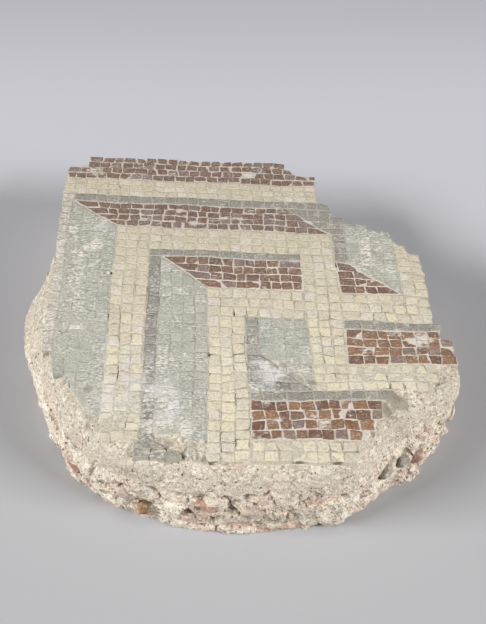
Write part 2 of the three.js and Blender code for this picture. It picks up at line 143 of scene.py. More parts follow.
def column_lean(column):
    return mix(4.5, 8.0, smooth_step(13, 18, column)) / 230


def grid_point(column, row):
    """Plan position in millimetres of a place on the grid."""
    y0 = row_height(row)
    slope = row_slope(y0)
    lean = column_lean(column)
    x = (column_start(column) + lean * (100 - y0)) / (1 + lean * slope)
    return np.stack([x, y0 + slope * x], axis=-1)


def grid_place(x, y):
    """The other way round: the column and row of a plan position, found by closing in on it."""
    row = np.interp(-y, -ROW_HEIGHTS, ROW_NUMBERS)
    column = (x - LEFT_EDGE) / PITCH
    for _ in range(8):
        y0 = row_height(row)
        row = np.interp(-(y - row_slope(y0) * x), -ROW_HEIGHTS, ROW_NUMBERS)
        away = grid_point(column, row)
        column = column + (x - away[..., 0]) / PITCH
    return column, row


print("middle of the panel:", grid_point(16, 20).round(2), "mm from the plan's origin")

# %% [markdown]
# ## The design
# The floor shows part of a meander: straight bars that turn at right angles, as on Greek borders. Each
# field below is a quad of grid lines, back left corner first and clockwise, and its courses run
# across (x) or towards the front (y). Beyond the kept outline the tesserae are lost, and only mortar
# is left.

# %% Fields of tesserae
FIELDS = [
    ("red_border", "red", "x", [(0, 0), (23.2, 0), (23.2, 4), (0, 4)]),
    ("cream_border", "cream", "x", [(0, 4), (23.1, 4), (23.1, 7), (0, 7)]),
    ("pale_column_left", "pale", "y", [(0, 7), (1, 7), (1, 30), (0, 30)]),
    ("grey_line_back", "grey", "x", [(1, 7), (24.2, 7), (24.2, 8), (1, 8)]),
    ("red_bar_back", "red", "x", [(1, 8), (20, 8), (24, 12), (5, 12)]),
    ("grey_corner_right", "grey", "x", [(20, 8), (25, 8), (25, 12), (24, 12)]),
    ("cream_bar_back", "cream", "x", [(5, 12), (24, 12), (24, 15), (5, 15)]),
    ("green_field_left", "green", "y", [(1, 8), (5, 12), (5, 34), (1, 30)]),
    ("cream_column_left", "cream", "y", [(5, 15), (8, 15), (8, 36), (5, 36)]),
    ("grey_line_inner", "grey", "x", [(8, 15), (21, 15), (21, 16), (8, 16)]),
    ("grey_column_inner", "violet", "y", [(8, 16), (9, 16), (9, 36), (8, 36)]),
    ("red_bar_inner", "red", "x", [(9, 16), (21, 16), (21, 20), (13, 20)]),
    ("green_band_inner", "green", "y", [(9, 16), (13, 20), (13, 36), (9, 36)]),
    ("grey_remnant_front", "grey", "x", [(7.6, 36), (12, 36), (12, 37.6), (7.6, 37.6)]),
    ("cream_bar_middle", "cream", "x", [(13, 20), (21, 20), (21, 23), (13, 23)]),
    ("cream_column_middle", "cream", "y", [(13, 23), (16, 23), (16, 38), (13, 38)]),
    ("grey_column_middle", "violet", "y", [(16, 23), (17, 23), (17, 27), (16, 27)]),
    ("green_block_middle", "green", "y", [(17, 23), (21, 23), (21, 31), (17, 27)]),
    ("grey_patch_middle", "violet", "x", [(16, 27), (17, 27), (21, 31), (16, 31)]),
    ("grey_line_front", "grey", "x", [(16, 31), (27, 31), (27, 32), (16, 32)]),
    ("red_bar_front", "red", "x", [(16, 32), (26, 32), (26, 36), (16, 36)]),
    ("cream_bar_front", "cream", "x", [(16, 36), (25, 36), (25, 38), (16, 38)]),
    ("cream_column_right", "cream", "y", [(21, 15), (24, 15), (24, 28), (21, 28)]),
    ("cream_bar_front_right", "cream", "x", [(21, 28), (30.6, 28), (30.6, 31), (21, 31)]),
    ("grey_column_right", "grey", "y", [(24, 12), (25, 12), (25, 16), (24, 16)]),
    ("green_field_right", "green", "y", [(25, 10), (29, 10), (29, 20), (25, 16)]),
    ("red_wedge_right", "red", "x", [(24, 16), (25, 16), (29, 20), (24, 20)]),
    ("cream_column_far_right", "cream", "y", [(29, 12), (31.2, 12), (31.2, 20), (29, 20)]),
    ("cream_bar_right", "cream", "x", [(24, 20), (31.2, 20), (31.2, 23), (24, 23)]),
    ("grey_line_right", "grey", "x", [(24, 23), (31.6, 23), (31.6, 24), (24, 24)]),
    ("red_bar_right", "red", "x", [(24, 24), (32.4, 24), (32.4, 28), (24, 28)]),
]

KEPT = [
    (-165, 186), (-159, 188), (-158, 197), (-143, 200), (-141, 211), (-110, 210), (-20, 204),
    (36, 202), (37, 191), (50, 190), (51, 182), (69, 181), (69, 144), (79, 134), (81, 122),
    (100, 109), (122, 103), (137, 85), (140, 72), (148, 70), (154, 50), (149, 32), (151, -8),
    (162, -34), (170, -50), (170, -60), (148, -62), (145, -87), (122, -97), (104, -106),
    (96, -124), (88, -137), (77, -158), (-26, -158), (-44, -150), (-80, -150), (-99, -137),
    (-119, -105), (-133, -80), (-146, -60), (-157, -38), (-165, 0),
]
print(len(FIELDS), "fields in", len({tone for _, tone, _, _ in FIELDS}), "tones of stone")

# %% [markdown]
# ## From the plan to the frame
# The solid model was centred on its own middle, so the plan has to be moved by the same amount. One
# field whose every tessera is kept tells how far: its box in the frame minus its box in the plan.

# %% Shift between the plan and the frame
EDGE_INSET = 0.045
ring = [(13 + EDGE_INSET, 20 + EDGE_INSET), (21 - EDGE_INSET, 20 + EDGE_INSET),
        (21 - EDGE_INSET, 23 - EDGE_INSET), (13 + EDGE_INSET, 23 - EDGE_INSET)]
plan_low = np.min([grid_point(c, r) for c, r in ring], axis=0)
field_low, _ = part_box("cream_bar_middle")
SHIFT = np.array([field_low.x / MM - plan_low[0], field_low.y / MM - plan_low[1], 0.0])
print("plan to frame:", SHIFT.round(3), "mm")


def to_frame(points):
    """Plan millimetres to metres in the frame."""
    return (np.asarray(points, float) + SHIFT) * MM


# %% [markdown]
# ## Cutting the courses
# A course is one row of tesserae between two grid lines. It is divided evenly, the whole row is
# shifted a little, and every cut is moved and turned by chance. Only the longest unbroken row inside
# the kept outline survives.

# %% Courses and tesserae
def inset_quad(corners, distance):
    """A quad of grid places moved inwards by the same distance on all four sides."""
    edges = []
    for index, (x0, y0) in enumerate(corners):
        x1, y1 = corners[(index + 1) % 4]
        length = math.hypot(x1 - x0, y1 - y0)
        nx, ny = -(y1 - y0) / length, (x1 - x0) / length
        edges.append((nx, ny, nx * x0 + ny * y0 + distance))
    moved = []
    for index, (nx, ny, offset) in enumerate(edges):
        bx, by, before = edges[index - 1]
        det = bx * ny - nx * by
        moved.append(((before * ny - offset * by) / det, (bx * offset - nx * before) / det))
    return moved


def course_lines(along, corners):
    """Level, start and end of every course line of a field, in grid steps."""
    back_left, back_right, front_right, front_left = inset_quad(corners, EDGE_INSET)
    axis = 0 if along == "x" else 1
    starts = (back_left, front_left) if along == "x" else (back_left, back_right)
    ends = (back_right, front_right) if along == "x" else (front_left, front_right)
    count = max(1, round(abs(starts[1][1 - axis] - starts[0][1 - axis])))
    lines = []
    for index in range(count + 1):
        t = index / count
        lines.append((mix(starts[0][1 - axis], starts[1][1 - axis], t),
                      mix(starts[0][axis], starts[1][axis], t),
                      mix(ends[0][axis], ends[1][axis], t)))
    return lines


def course_cells(upper, lower, seed):
    """Start and end of each tessera on the upper and the lower line of a course."""
    first = max(upper[1], lower[1])
    last = min(upper[2], lower[2])
    count = max(1, round(last - first))
    stagger = wobble(seed, 0.22)
    cuts = [(upper[1], lower[1])]
    for k in range(1, count):
        place = mix(first, last, k / count) + stagger + wobble(seed + k * 7.3, 0.12)
        cuts.append((place + wobble(seed + k, 0.05), place - wobble(seed + k, 0.05)))
    cuts.append((upper[2], lower[2]))
    return list(zip(cuts, cuts[1:]))


def laid_tesserae(along, corners, number):
    """Corner quads of the kept tesserae of a field, in plan millimetres, clockwise from above."""
    def at(level, place):
        return grid_point(place, level) if along == "x" else grid_point(level, place)

    quads = []
    lines = course_lines(along, corners)
    for k, (upper, lower) in enumerate(zip(lines, lines[1:])):
        rows = [[]]
        for start, end in course_cells(upper, lower, number * 31.7 + k * 5.3 + 1):
            middle = (at(upper[0], (start[0] + end[0]) / 2)
                      + at(lower[0], (start[1] + end[1]) / 2)) / 2
            if inside_polygon(middle[0], middle[1], KEPT):
                quad = [at(upper[0], start[0]), at(upper[0], end[0]),
                        at(lower[0], end[1]), at(lower[0], start[1])]
                if along == "y":
                    quad = [quad[0], quad[3], quad[2], quad[1]]
                rows[-1].append(np.array(quad))
            else:
                rows.append([])
        quads += max(rows, key=len)
    return quads


laid = {name: laid_tesserae(along, corners, number)
        for number, (name, tone, along, corners) in enumerate(FIELDS)}
print(sum(len(quads) for quads in laid.values()), "tesserae in", len(laid), "fields")

# %% [markdown]
# ## Where lime, haze and dirt lie
# Lime from the mortar has spread over parts of the face, a pale haze covers others, and a few places
# are stained brown. Such marks could be brushed on by hand, but here each is a soft patch, given as
# middle, two radii and strength in plan millimetres, so that it can be moved by changing a number.
# The patches become numbers on the corners of every stone, which the finishes read.

# %% Painted patches
LIME_PATCHES = [
    (140, -33, 16, 9, 1.0), (122, -24, 9, 5, 0.7), (104, -14, 8, 5, 0.6), (96, -42, 8, 4, 0.6),
    (92, -52, 8, 4, 0.6), (134, -48, 9, 5, 0.5), (69, -100, 22, 4.5, 0.9), (12, -133, 9, 5, 0.9),
    (36, -118, 6, 5, 0.6), (60, -117, 9, 5, 0.5), (16, -100, 8, 4, 0.5), (45, -66, 10, 8, 0.7),
    (12, -88, 22, 6, 0.6), (-10, -62, 16, 8, 0.4), (-137, 90, 22, 18, 0.5), (-132, 58, 18, 16, 0.45),
    (-135, -10, 22, 40, 0.4), (-96, -96, 22, 22, 0.7), (-110, -80, 16, 26, 0.6),
    (-60, -118, 34, 16, 0.6), (-60, -60, 16, 50, 0.3), (-80, 178, 12, 5, 0.5),
    (-40, 170, 20, 5, 0.35), (5, 182, 5, 5, 0.9), (-96, 182, 14, 5, 0.5), (-140, 190, 22, 8, 0.5),
    (-10, 120, 14, 6, 0.4), (-85, 122, 12, 5, 0.4), (30, 136, 12, 5, 0.4), (60, 112, 12, 8, 0.5),
    (115, 60, 30, 30, 0.4), (120, 90, 20, 14, 0.45), (66, 84, 12, 8, 0.4), (120, -72, 36, 10, 0.5),
    (20, 190, 40, 7, 0.25), (86, 20, 14, 20, 0.25), (-157, 60, 7, 120, 0.65),
    (-62, -142, 22, 10, 0.5), (130, 10, 26, 10, 0.4),
    (-28, -150, 16, 8, 0.7), (-74, -98, 26, 30, 0.5), (-44, -120, 20, 16, 0.6),
    (-140, 40, 12, 60, 0.6),
]
HAZE_PATCHES = [
    (20, -66, 25, 16, 1.0), (-94, -98, 24, 20, 0.7), (-84, -60, 14, 24, 0.5), (-14, -40, 10, 34, 0.4),
    (-40, 110, 30, 6, 0.55), (-20, 66, 30, 8, 0.3), (-70, 20, 12, 60, 0.25), (60, -20, 12, 30, 0.35),
    (66, -44, 14, 18, 0.5), (-26, -140, 14, 14, 0.6), (60, 170, 24, 10, 0.5), (30, 60, 60, 14, 0.3),
    (-10, 16, 22, 10, 0.4), (28, -120, 6, 5, 1.0), (-30, 20, 14, 40, 0.3),
    (-70, -84, 30, 40, 0.6), (-52, -114, 26, 18, 0.7), (-100, -40, 20, 40, 0.45),
    (-20, -104, 12, 28, 0.35), (-126, 20, 16, 50, 0.4), (-128, 120, 18, 30, 0.4),
]
STAIN_PATCHES = [
    (117, -96, 11, 8, 1.0), (107, -103, 8, 8, 0.7), (15, -50, 3, 5, 0.7), (20, -55, 4.5, 4, 0.75),
    (26, -60, 4.5, 4, 0.75), (32, -65, 4.5, 4, 0.75), (39, -71, 6, 4, 0.7), (46, -77, 6, 4, 0.6),
    (52, -78, 8, 4, 0.6), (-60, -138, 20, 7, 0.5), (-118, -84, 5, 9, 0.6), (-116, -112, 4, 10, 0.6),
    (-146, 118, 5, 12, 0.5), (95, -120, 10, 10, 0.4), (-30, -152, 10, 4, 0.5),
]


def patch_cover(x, y, patches):
    """How strongly the patches cover a plan position, from 0 to 1."""
    cover = np.zeros(np.shape(x))
    for px, py, rx, ry, strength in patches:
        distance = np.sqrt(((x - px) / rx) ** 2 + ((y - py) / ry) ** 2)
        cover = np.maximum(cover, strength * (1 - smooth_step(0.35, 1.25, distance)))
    return cover


print(len(LIME_PATCHES), "patches of lime,", len(HAZE_PATCHES), "of haze and",
      len(STAIN_PATCHES), "of dirt")


# %% [markdown]
# ## Node trees written as sums
# Both geometry trees and materials are graphs of nodes. Clicking them together is slow, and a script
# full of node names hides the idea. So a small class wraps a socket, and an expression such as
# `1 - mask * 0.5` adds the Math nodes by itself. One method adds any other node: its settings come
# first, because they decide which sockets it has, and then the values or links of its sockets.

# %% Wires and boards
def pick(sockets, key):
    """A socket by number, or the first one in use with that name."""
    if isinstance(key, int):
        return sockets[key]
    return next(s for s in sockets if s.name == key and s.enabled)


class Wire:
    """The output of a node, with ordinary arithmetic."""

    def __init__(self, board, socket):
        self.board = board
        self.socket = socket

    def twin(self, name):
        """Another output of the same node."""
        return Wire(self.board, pick(self.socket.node.outputs, name))

    def __add__(self, other):
        return self.board.maths("ADD", self, other)

    def __radd__(self, other):
        return self.board.maths("ADD", other, self)

    def __sub__(self, other):
        return self.board.maths("SUBTRACT", self, other)

    def __rsub__(self, other):
        return self.board.maths("SUBTRACT", other, self)

    def __mul__(self, other):
        return self.board.maths("MULTIPLY", self, other)

    def __rmul__(self, other):
        return self.board.maths("MULTIPLY", other, self)

    def __truediv__(self, other):
        return self.board.maths("DIVIDE", self, other)

    def __rtruediv__(self, other):
        return self.board.maths("DIVIDE", other, self)


class Board:
    """A node tree that is being put together."""

    def __init__(self, tree):
        self.tree = tree

    def node(self, kind, settings=None, inputs=None, output=0):
        node = self.tree.nodes.new(kind)
        for name, value in (settings or {}).items():
            if name == "stops":
                self.set_stops(node.color_ramp, value)
            else:
                setattr(node, name, value)
        for key, value in (inputs or {}).items():
            socket = pick(node.inputs, key)
            for each in value if isinstance(value, list) else [value]:
                if isinstance(each, Wire):
                    self.tree.links.new(each.socket, socket)
                else:
                    socket.default_value = each
        return Wire(self, pick(node.outputs, output)) if len(node.outputs) else node

    @staticmethod
    def set_stops(ramp, stops):
        while len(ramp.elements) > 1:
            ramp.elements.remove(ramp.elements[-1])
        for index, (place, colour) in enumerate(stops):
            stop = ramp.elements[0] if index == 0 else ramp.elements.new(place)
            stop.position = place
            stop.color = colour

    def maths(self, operation, *values):
        return self.node("ShaderNodeMath", {"operation": operation}, dict(enumerate(values)))

    def ramp(self, value, low, high, start=0.0, end=1.0):
        """A smooth step of a value from low to high, scaled to run from start to end."""
        settings = {"interpolation_type": "SMOOTHSTEP"}
        return self.node("ShaderNodeMapRange", settings,
                         {"Value": value, "From Min": low, "From Max": high,
                          "To Min": start, "To Max": end})

    def blend(self, factor, start, end, mode="MIX"):
        """Two colours mixed, or multiplied or added, by a factor."""
        settings = {"data_type": "RGBA", "blend_type": mode}
        return self.node("ShaderNodeMix", settings, {0: factor, 6: start, 7: end}, 2)

    def vector(self, operation, *values):
        return self.node("ShaderNodeVectorMath", {"operation": operation}, dict(enumerate(values)))

    def scaled(self, vector, factor):
        return self.node("ShaderNodeVectorMath", {"operation": "SCALE"}, {0: vector, "Scale": factor})

    def part(self, vector, axis):
        """One of the three numbers of a vector: X, Y or Z."""
        return self.node("ShaderNodeSeparateXYZ", None, {0: vector}, axis)

    def random(self, low, high, seed):
        """A number, or a vector where low is one, drawn for each element from a seed."""
        kind = "FLOAT_VECTOR" if isinstance(low, tuple) else "FLOAT"
        return self.node("FunctionNodeRandomValue", {"data_type": kind},
                         {"Min": low, "Max": high, "Seed": seed})

    def stored(self, name, kind):
        """A number or vector that the mesh carries under a name."""
        return self.node("GeometryNodeInputNamedAttribute", {"data_type": kind}, {"Name": name},
                         "Attribute")

    def store(self, geometry, name, value, domain):
        """Keeps a number on the points, faces or instances of a geometry, under a name."""
        return self.node("GeometryNodeStoreNamedAttribute", {"data_type": "FLOAT", "domain": domain},
                         {"Geometry": geometry, "Name": name, "Value": value})


# %% [markdown]
# ## Geometry trees with named inputs
# A geometry tree works like a small machine: meshes go in, and the named inputs are its knobs. The
# helpers here make such a tree, hang it on an object as a modifier, set its knobs by the sockets'
# identifiers, and bake the result into a plain mesh, so that nothing is left to be computed later.

# %% Helpers for geometry trees
SOCKET_KINDS = {
    "float": "NodeSocketFloat", "int": "NodeSocketInt", "material": "NodeSocketMaterial",
}


def geometry_tree(name, knobs):
    """A new tree with a mesh input and the given knobs, and wires from all of them."""
    tree = bpy.data.node_groups.new(name, "GeometryNodeTree")
    tree.is_modifier = True
    tree.interface.new_socket("Geometry", in_out="INPUT", socket_type="NodeSocketGeometry")
    tree.interface.new_socket("Geometry", in_out="OUTPUT", socket_type="NodeSocketGeometry")
    for knob, (kind, value) in knobs.items():
        socket = tree.interface.new_socket(knob, in_out="INPUT", socket_type=SOCKET_KINDS[kind])
        if value is not None:
            socket.default_value = value
    board = Board(tree)
    entry = tree.nodes.new("NodeGroupInput")
    wires = {socket.name: Wire(board, socket) for socket in entry.outputs if socket.name}
    return tree, board, wires


def close_tree(board, geometry, material):
    """The last three nodes of every tree."""
    real = board.node("GeometryNodeRealizeInstances", None, {"Geometry": geometry})
    finished = board.node("GeometryNodeSetMaterial", None, {"Geometry": real, "Material": material})
    exit_node = board.tree.nodes.new("NodeGroupOutput")
    board.tree.links.new(finished.socket, exit_node.inputs[0])


def put_mesh(name, points, faces, attributes=None):
    """A mesh object at the origin; attributes are one number or vector for each point."""
    mesh = bpy.data.meshes.new(name)
    mesh.from_pydata([tuple(p) for p in points], [], [tuple(f) for f in faces])
    for key, values in (attributes or {}).items():
        values = np.asarray(values, np.float32)
        kind = "FLOAT_VECTOR" if values.ndim == 2 else "FLOAT"
        layer = mesh.attributes.new(key, kind, "POINT")
        layer.data.foreach_set("vector" if values.ndim == 2 else "value", values.ravel())
    obj = bpy.data.objects.new(name, mesh)
    bpy.context.scene.collection.objects.link(obj)
    return obj


def bake_tree(obj, tree, knobs):
    """Runs a tree on an object and keeps the result as its plain mesh."""
    modifier = obj.modifiers.new("tree", "NODES")
    modifier.node_group = tree
    for item in tree.interface.items_tree:
        if item.in_out == "INPUT" and item.name in knobs:
            modifier[item.identifier] = knobs[item.name]
    evaluated = obj.evaluated_get(bpy.context.evaluated_depsgraph_get())
    mesh = bpy.data.meshes.new_from_object(evaluated)
    obj.modifiers.remove(modifier)
    obj.data = mesh
    mesh.name = obj.name
    return obj


def triangles_of(obj):
    return sum(len(p.vertices) - 2 for p in obj.data.polygons)


# %% [markdown]
# ## Colours
# Colours are written as on a paint chart, in hexadecimal, and turned into the linear values that
# the renderer works with.

# %% Colour helper
def paint(code):
    """A hexadecimal colour as linear red, green, blue and opacity."""
    parts = [int(code[k:k + 2], 16) / 255 for k in (0, 2, 4)]
    return tuple(p / 12.92 if p <= 0.04045 else ((p + 0.055) / 1.055) ** 2.4 for p in parts) + (1.0,)


print("half grey, 808080, is", round(paint("808080")[0], 3), "in linear light")


# %% [markdown]
# ## What every finish shares
# A finish ends in one shader, and begins with soft noise at sizes given in millimetres and with the
# numbers stored on the mesh. The noise reads Object coordinates, which are the frame's own metres, so
# a pattern runs on from one piece to the next, as dust and lime do. The last helper adds a slight
# bump, so that the grain can be seen in grazing light.

# %% Helpers for finishes
def new_finish(name):
    material = bpy.data.materials.new(name)
    material.use_nodes = True
    material.node_tree.nodes.clear()
    return material, Board(material.node_tree)


def show_finish(board, colour, roughness, height, strength, distance, specular=0.3):
    """The shader at the end of every finish; a height between 0 and 1 gives the bump."""
    bump = board.node("ShaderNodeBump", None,
                      {"Strength": strength, "Distance": distance * MM, "Height": height})
    shader = board.node("ShaderNodeBsdfPrincipled", None, {
        "Base Color": colour, "Roughness": roughness, "Normal": bump,
        "Specular IOR Level": specular})
    board.node("ShaderNodeOutputMaterial", None, {"Surface": shader})


def object_place(board):
    return board.node("ShaderNodeTexCoord", None, None, "Object")


def attribute(board, name, output="Fac"):
    return board.node("ShaderNodeAttribute", {"attribute_name": name}, None, output)


def cloud(board, place, size, detail=2.0, output="Fac"):
    """Soft noise with lumps of about the given size in millimetres."""
    return board.node("ShaderNodeTexNoise", None,
                      {"Vector": place, "Scale": 1 / (size * MM), "Detail": detail}, output)


# %% [markdown]
# ## Weather over stones and joints
# A floor that lay in the ground is coated unevenly: a pale haze, smears of lime, fine white streaks,
# dark flecks, and brown earth. The coats don't stop at the joints, so one function lays them over the
# stones and the mortar alike. Each coat shows where a noise plus its painted number is high enough,
# which gives ragged edges, and the same few noises serve for all of them.

# %% Weather
HAZE = "DAD5D0"
LIME = "DFD8CB"
STREAK = "EFEADE"
FLECK = "847C6D"
EARTH = "9A9181"


def weather(board, place, body, streaky, fleck=FLECK):
    """Lays haze, lime, streaks, flecks and earth over a colour; streaky is how strongly."""
    lime = attribute(board, "lime")
    haze = attribute(board, "haze")
    flat = board.vector("MULTIPLY", place, (1.0, 2.2, 1.0))
    thin = cloud(board, flat, 2.8, 8)
    film = cloud(board, place, 12, 6) + haze * 0.52
    body = board.blend(board.ramp(film, 0.7, 0.96, 0.0, 0.92), body, paint(HAZE))
    smear = cloud(board, flat, 6, 7) * 0.6 + thin * 0.4 + lime * 0.36
    body = board.blend(board.ramp(smear, 0.66, 0.84, 0.0, 0.85), body, paint(LIME))
    amount = board.ramp(cloud(board, place, 13, 3) + lime * 0.2 + haze * 0.15, 0.42, 0.62, 0.15, 1.0)
    body = board.blend(board.ramp(thin, 0.54, 0.63, 0.0, streaky) * amount, body, paint(STREAK))
    body = board.blend(board.ramp(thin, 0.45, 0.36, 0.0, streaky * 0.8) * amount, body, paint(fleck))
    earth = cloud(board, place, 5, 4) * 0.8 + attribute(board, "stain") * 0.6
    return board.blend(board.ramp(earth, 0.55, 0.85, 0.0, 0.8), body, paint(EARTH))


# %% [markdown]
# ## The finish of the stones
# Each tone has a light and a dark shade, and every stone gets its own mix of the two from its random
# number. Over it lie soft blotches, fine grain, the colour that creeps in from the joints, cracked
# edges, and then the weather. The distance from a stone's edge comes from two numbers that run from 0
# to 1 across its face, so a thousand stones share one material.

# %% Finish of a tessera
CRACK = "746A5A"


def edge_distance(board):
    """Distance from the nearest edge of a stone's face, in millimetres, rounded at the corners."""
    across = attribute(board, "across", "Vector")
    u = board.part(across, "X")
    v = board.part(across, "Y")
    from_sides = board.maths("MINIMUM", u, 1.0 - u)
    from_ends = board.maths("MINIMUM", v, 1.0 - v)
    return board.maths("SMOOTH_MIN", from_sides, from_ends, 0.12) * 9.5


def stone_finish(name, shades, odd, rim, rim_width, streaky, crack=0.0, outline=0.0, fleck=FLECK):
    """A tone of stone.

    shades are its dark and light shade and the one towards the back; odd is the shade of a few
    other stones; rim and rim_width are what creeps in from the joints; crack darkens the edges in
    places, and outline only where lime lies.
    """
    dark, light, back = shades
    material, board = new_finish(name)
    place = object_place(board)
    own = attribute(board, "stone")
    other = board.maths("FRACT", own * 17.3)
    grain = cloud(board, place, 1.5, 4)
    blotch = cloud(board, place, 8, 4)
    near = edge_distance(board)
    far = board.part(place, "Y")
    body = board.blend(blotch * 0.9 + own * 0.9 - 0.4, paint(dark), paint(light))
    body = board.blend(board.ramp(far, -0.12, 0.12, 0.0, 0.75), body, paint(back))
    body = board.blend(board.ramp(other, 0.8, 0.9, 0.0, 0.6), body, paint(odd))
    body = board.blend(board.ramp(grain, 0.5, 0.36, 0.0, 0.3), body, paint("8C8274"), "MULTIPLY")
    body = board.blend(board.ramp(grain, 0.55, 0.68, 0.0, 0.22), body, paint("F1EBDF"))
    creep = near - (cloud(board, place, 3.2, 4) - 0.47) * rim_width * 6.0
    body = board.blend(board.ramp(creep, rim_width, rim_width * 0.3), body, paint(rim))
    gap = near - (cloud(board, place, 6, 3) - 0.5) * 2.0
    split = board.ramp(gap, 0.4, 0.1)
    here = board.ramp(cloud(board, place, 21, 2), 0.47, 0.58, 0.12, 1.0)
    near_front = board.ramp(far, 0.1, -0.1, 0.5, 1.6)
    body = board.blend(split * here * near_front * crack, body, paint(CRACK))
    body = weather(board, place, body, streaky, fleck)
    body = board.blend(split * attribute(board, "lime") * outline, body, paint(CRACK))
    height = board.ramp(near, 0.0, 1.0, 0.0, 0.7) + grain * 0.5 + blotch * 0.5
    show_finish(board, body, board.ramp(grain, 0.3, 0.7, 0.66, 0.86), height, 0.7, 0.8)
    return material


# %% [markdown]
# ## Six tones of stone
# The palette is red-brown, cream, pale, grey, violet-grey and green. A tone is not only a colour: the
# red stones stand 0.4 mm apart and have crooked sides, while the cream and green ones fit closely. So
# each tone also says how wide its joints are, in millimetres, and how far the corners of its stones
# stray, as a share of half a stone.

# %% Tones
TONES = {
    "red": dict(joint=0.42, jitter=0.15, finish=stone_finish(
        "red_tesserae", ("745648", "9C775A", "75625A"), "8C7E7B", "D9CDBF", 0.16,
        streaky=0.25, outline=0.6)),
    "cream": dict(joint=0.2, jitter=0.09, finish=stone_finish(
        "cream_tesserae", ("D1C7B3", "E8DCBF", "C1B7A1"), "D8CEC3", "DAD0BD", 0.14,
        streaky=0.3, crack=0.6)),
    "pale": dict(joint=0.4, jitter=0.1, finish=stone_finish(
        "pale_tesserae", ("B9B3A7", "C9C4B9", "BEB8AB"), "CDC9C2", "B6B0A3", 0.3,
        streaky=0.6, crack=0.4)),
    "grey": dict(joint=0.3, jitter=0.07, finish=stone_finish(
        "grey_tesserae", ("8F8B81", "A29D92", "918C83"), "9A938D", "BBB5A7", 0.2,
        streaky=0.35, crack=0.3)),
    "violet": dict(joint=0.36, jitter=0.1, finish=stone_finish(
        "violet_grey_tesserae", ("85817A", "A7A297", "99948B"), "BDC0BC", "B4B0A5", 0.2,
        streaky=0.6, crack=0.8, fleck="5F6570")),
    "green": dict(joint=0.2, jitter=0.09, finish=stone_finish(
        "green_tesserae", ("ADAEA2", "BCBDB0", "A8A89B"), "C2C0B5", "BBBAAD", 0.14,
        streaky=0.75, crack=0.22)),
}
print(len(TONES), "stone finishes")

# %% [markdown]
# ## One tree lays every stone
# The script puts down one flat quad for the face of each tessera. The tree turns the quad into a block:
# it divides it, pushes its outline about a little, extrudes one copy upwards with a smaller top for the
# worn edge, extrudes a turned-over copy downwards into the bedding, and joins the two. A few corners
# are chipped. There are over a thousand blocks, so each has only a couple of dozen faces.

# %% Tree that raises the tesserae
def tessera_tree():
    knobs = {
        "Depth": ("float", 0.0085), "Edge wear": ("float", 0.0004), "Unevenness": ("float", 0.0004),
        "Chip": ("float", 0.0006), "Seed": ("int", 1), "Finish": ("material", None),
    }
    tree, board, wires = geometry_tree("raise_tesserae", knobs)

    def seed(step):
        return board.maths("ADD", wires["Seed"], step)

    def moved(geometry, offset):
        return board.node("GeometryNodeSetPosition", None, {"Geometry": geometry, "Offset": offset})

    def extruded(faces, direction, distance):
        return board.node("GeometryNodeExtrudeMesh", {"mode": "FACES"}, {
            "Mesh": faces, "Offset": (0.0, 0.0, direction), "Offset Scale": distance,
            "Individual": False}, "Mesh")

    cut = board.node("GeometryNodeSubdivideMesh", None, {"Mesh": wires["Geometry"], "Level": 1})
    anywhere = board.random((-1.0,) * 3, (1.0,) * 3, seed(0))
    sideways = board.vector("MULTIPLY", anywhere, (1.0, 1.0, 0.0))
    outline = moved(cut, board.scaled(sideways, wires["Unevenness"]))
    down = board.node("ShaderNodeCombineXYZ", None, {"Z": wires["Edge wear"] * -1.0})
    shoulder = moved(outline, down)

    cap = extruded(shoulder, 1.0, wires["Edge wear"])
    smaller = board.node("GeometryNodeScaleElements", {"domain": "FACE"}, {
        "Geometry": cap, "Selection": cap.twin("Top"), "Scale": 0.965})
    hit = board.maths("GREATER_THAN", board.random(0.0, 1.0, seed(7)), 0.9)
    drop = board.node("ShaderNodeCombineXYZ", None, {"Z": hit * wires["Chip"] * -1.0})
    chipped = moved(smaller, drop)

    turned = board.node("GeometryNodeFlipFaces", None, {"Mesh": shoulder})
    block = extruded(turned, -1.0, wires["Depth"])
    joined = board.node("GeometryNodeJoinGeometry", None, {"Geometry": [chipped, block]})
    merged = board.node("GeometryNodeMergeByDistance", None, {"Geometry": joined, "Distance": 0.00001})
    close_tree(board, merged, wires["Finish"])
    return tree


raise_tesserae = tessera_tree()
print(len(raise_tesserae.nodes), "nodes raise a tessera")

# %% [markdown]
# ## The broken outline
# The fragment has no straight edge: it is broken on every side. Its outline is given by stations on the
# rim, clockwise from the back left corner, each with how far it lies below the faces and how far the wall
# stands out from it a third and two thirds of the way down and at the foot. A smooth closed curve runs
# through them. The stations are the solid model's own, so the two outlines agree.

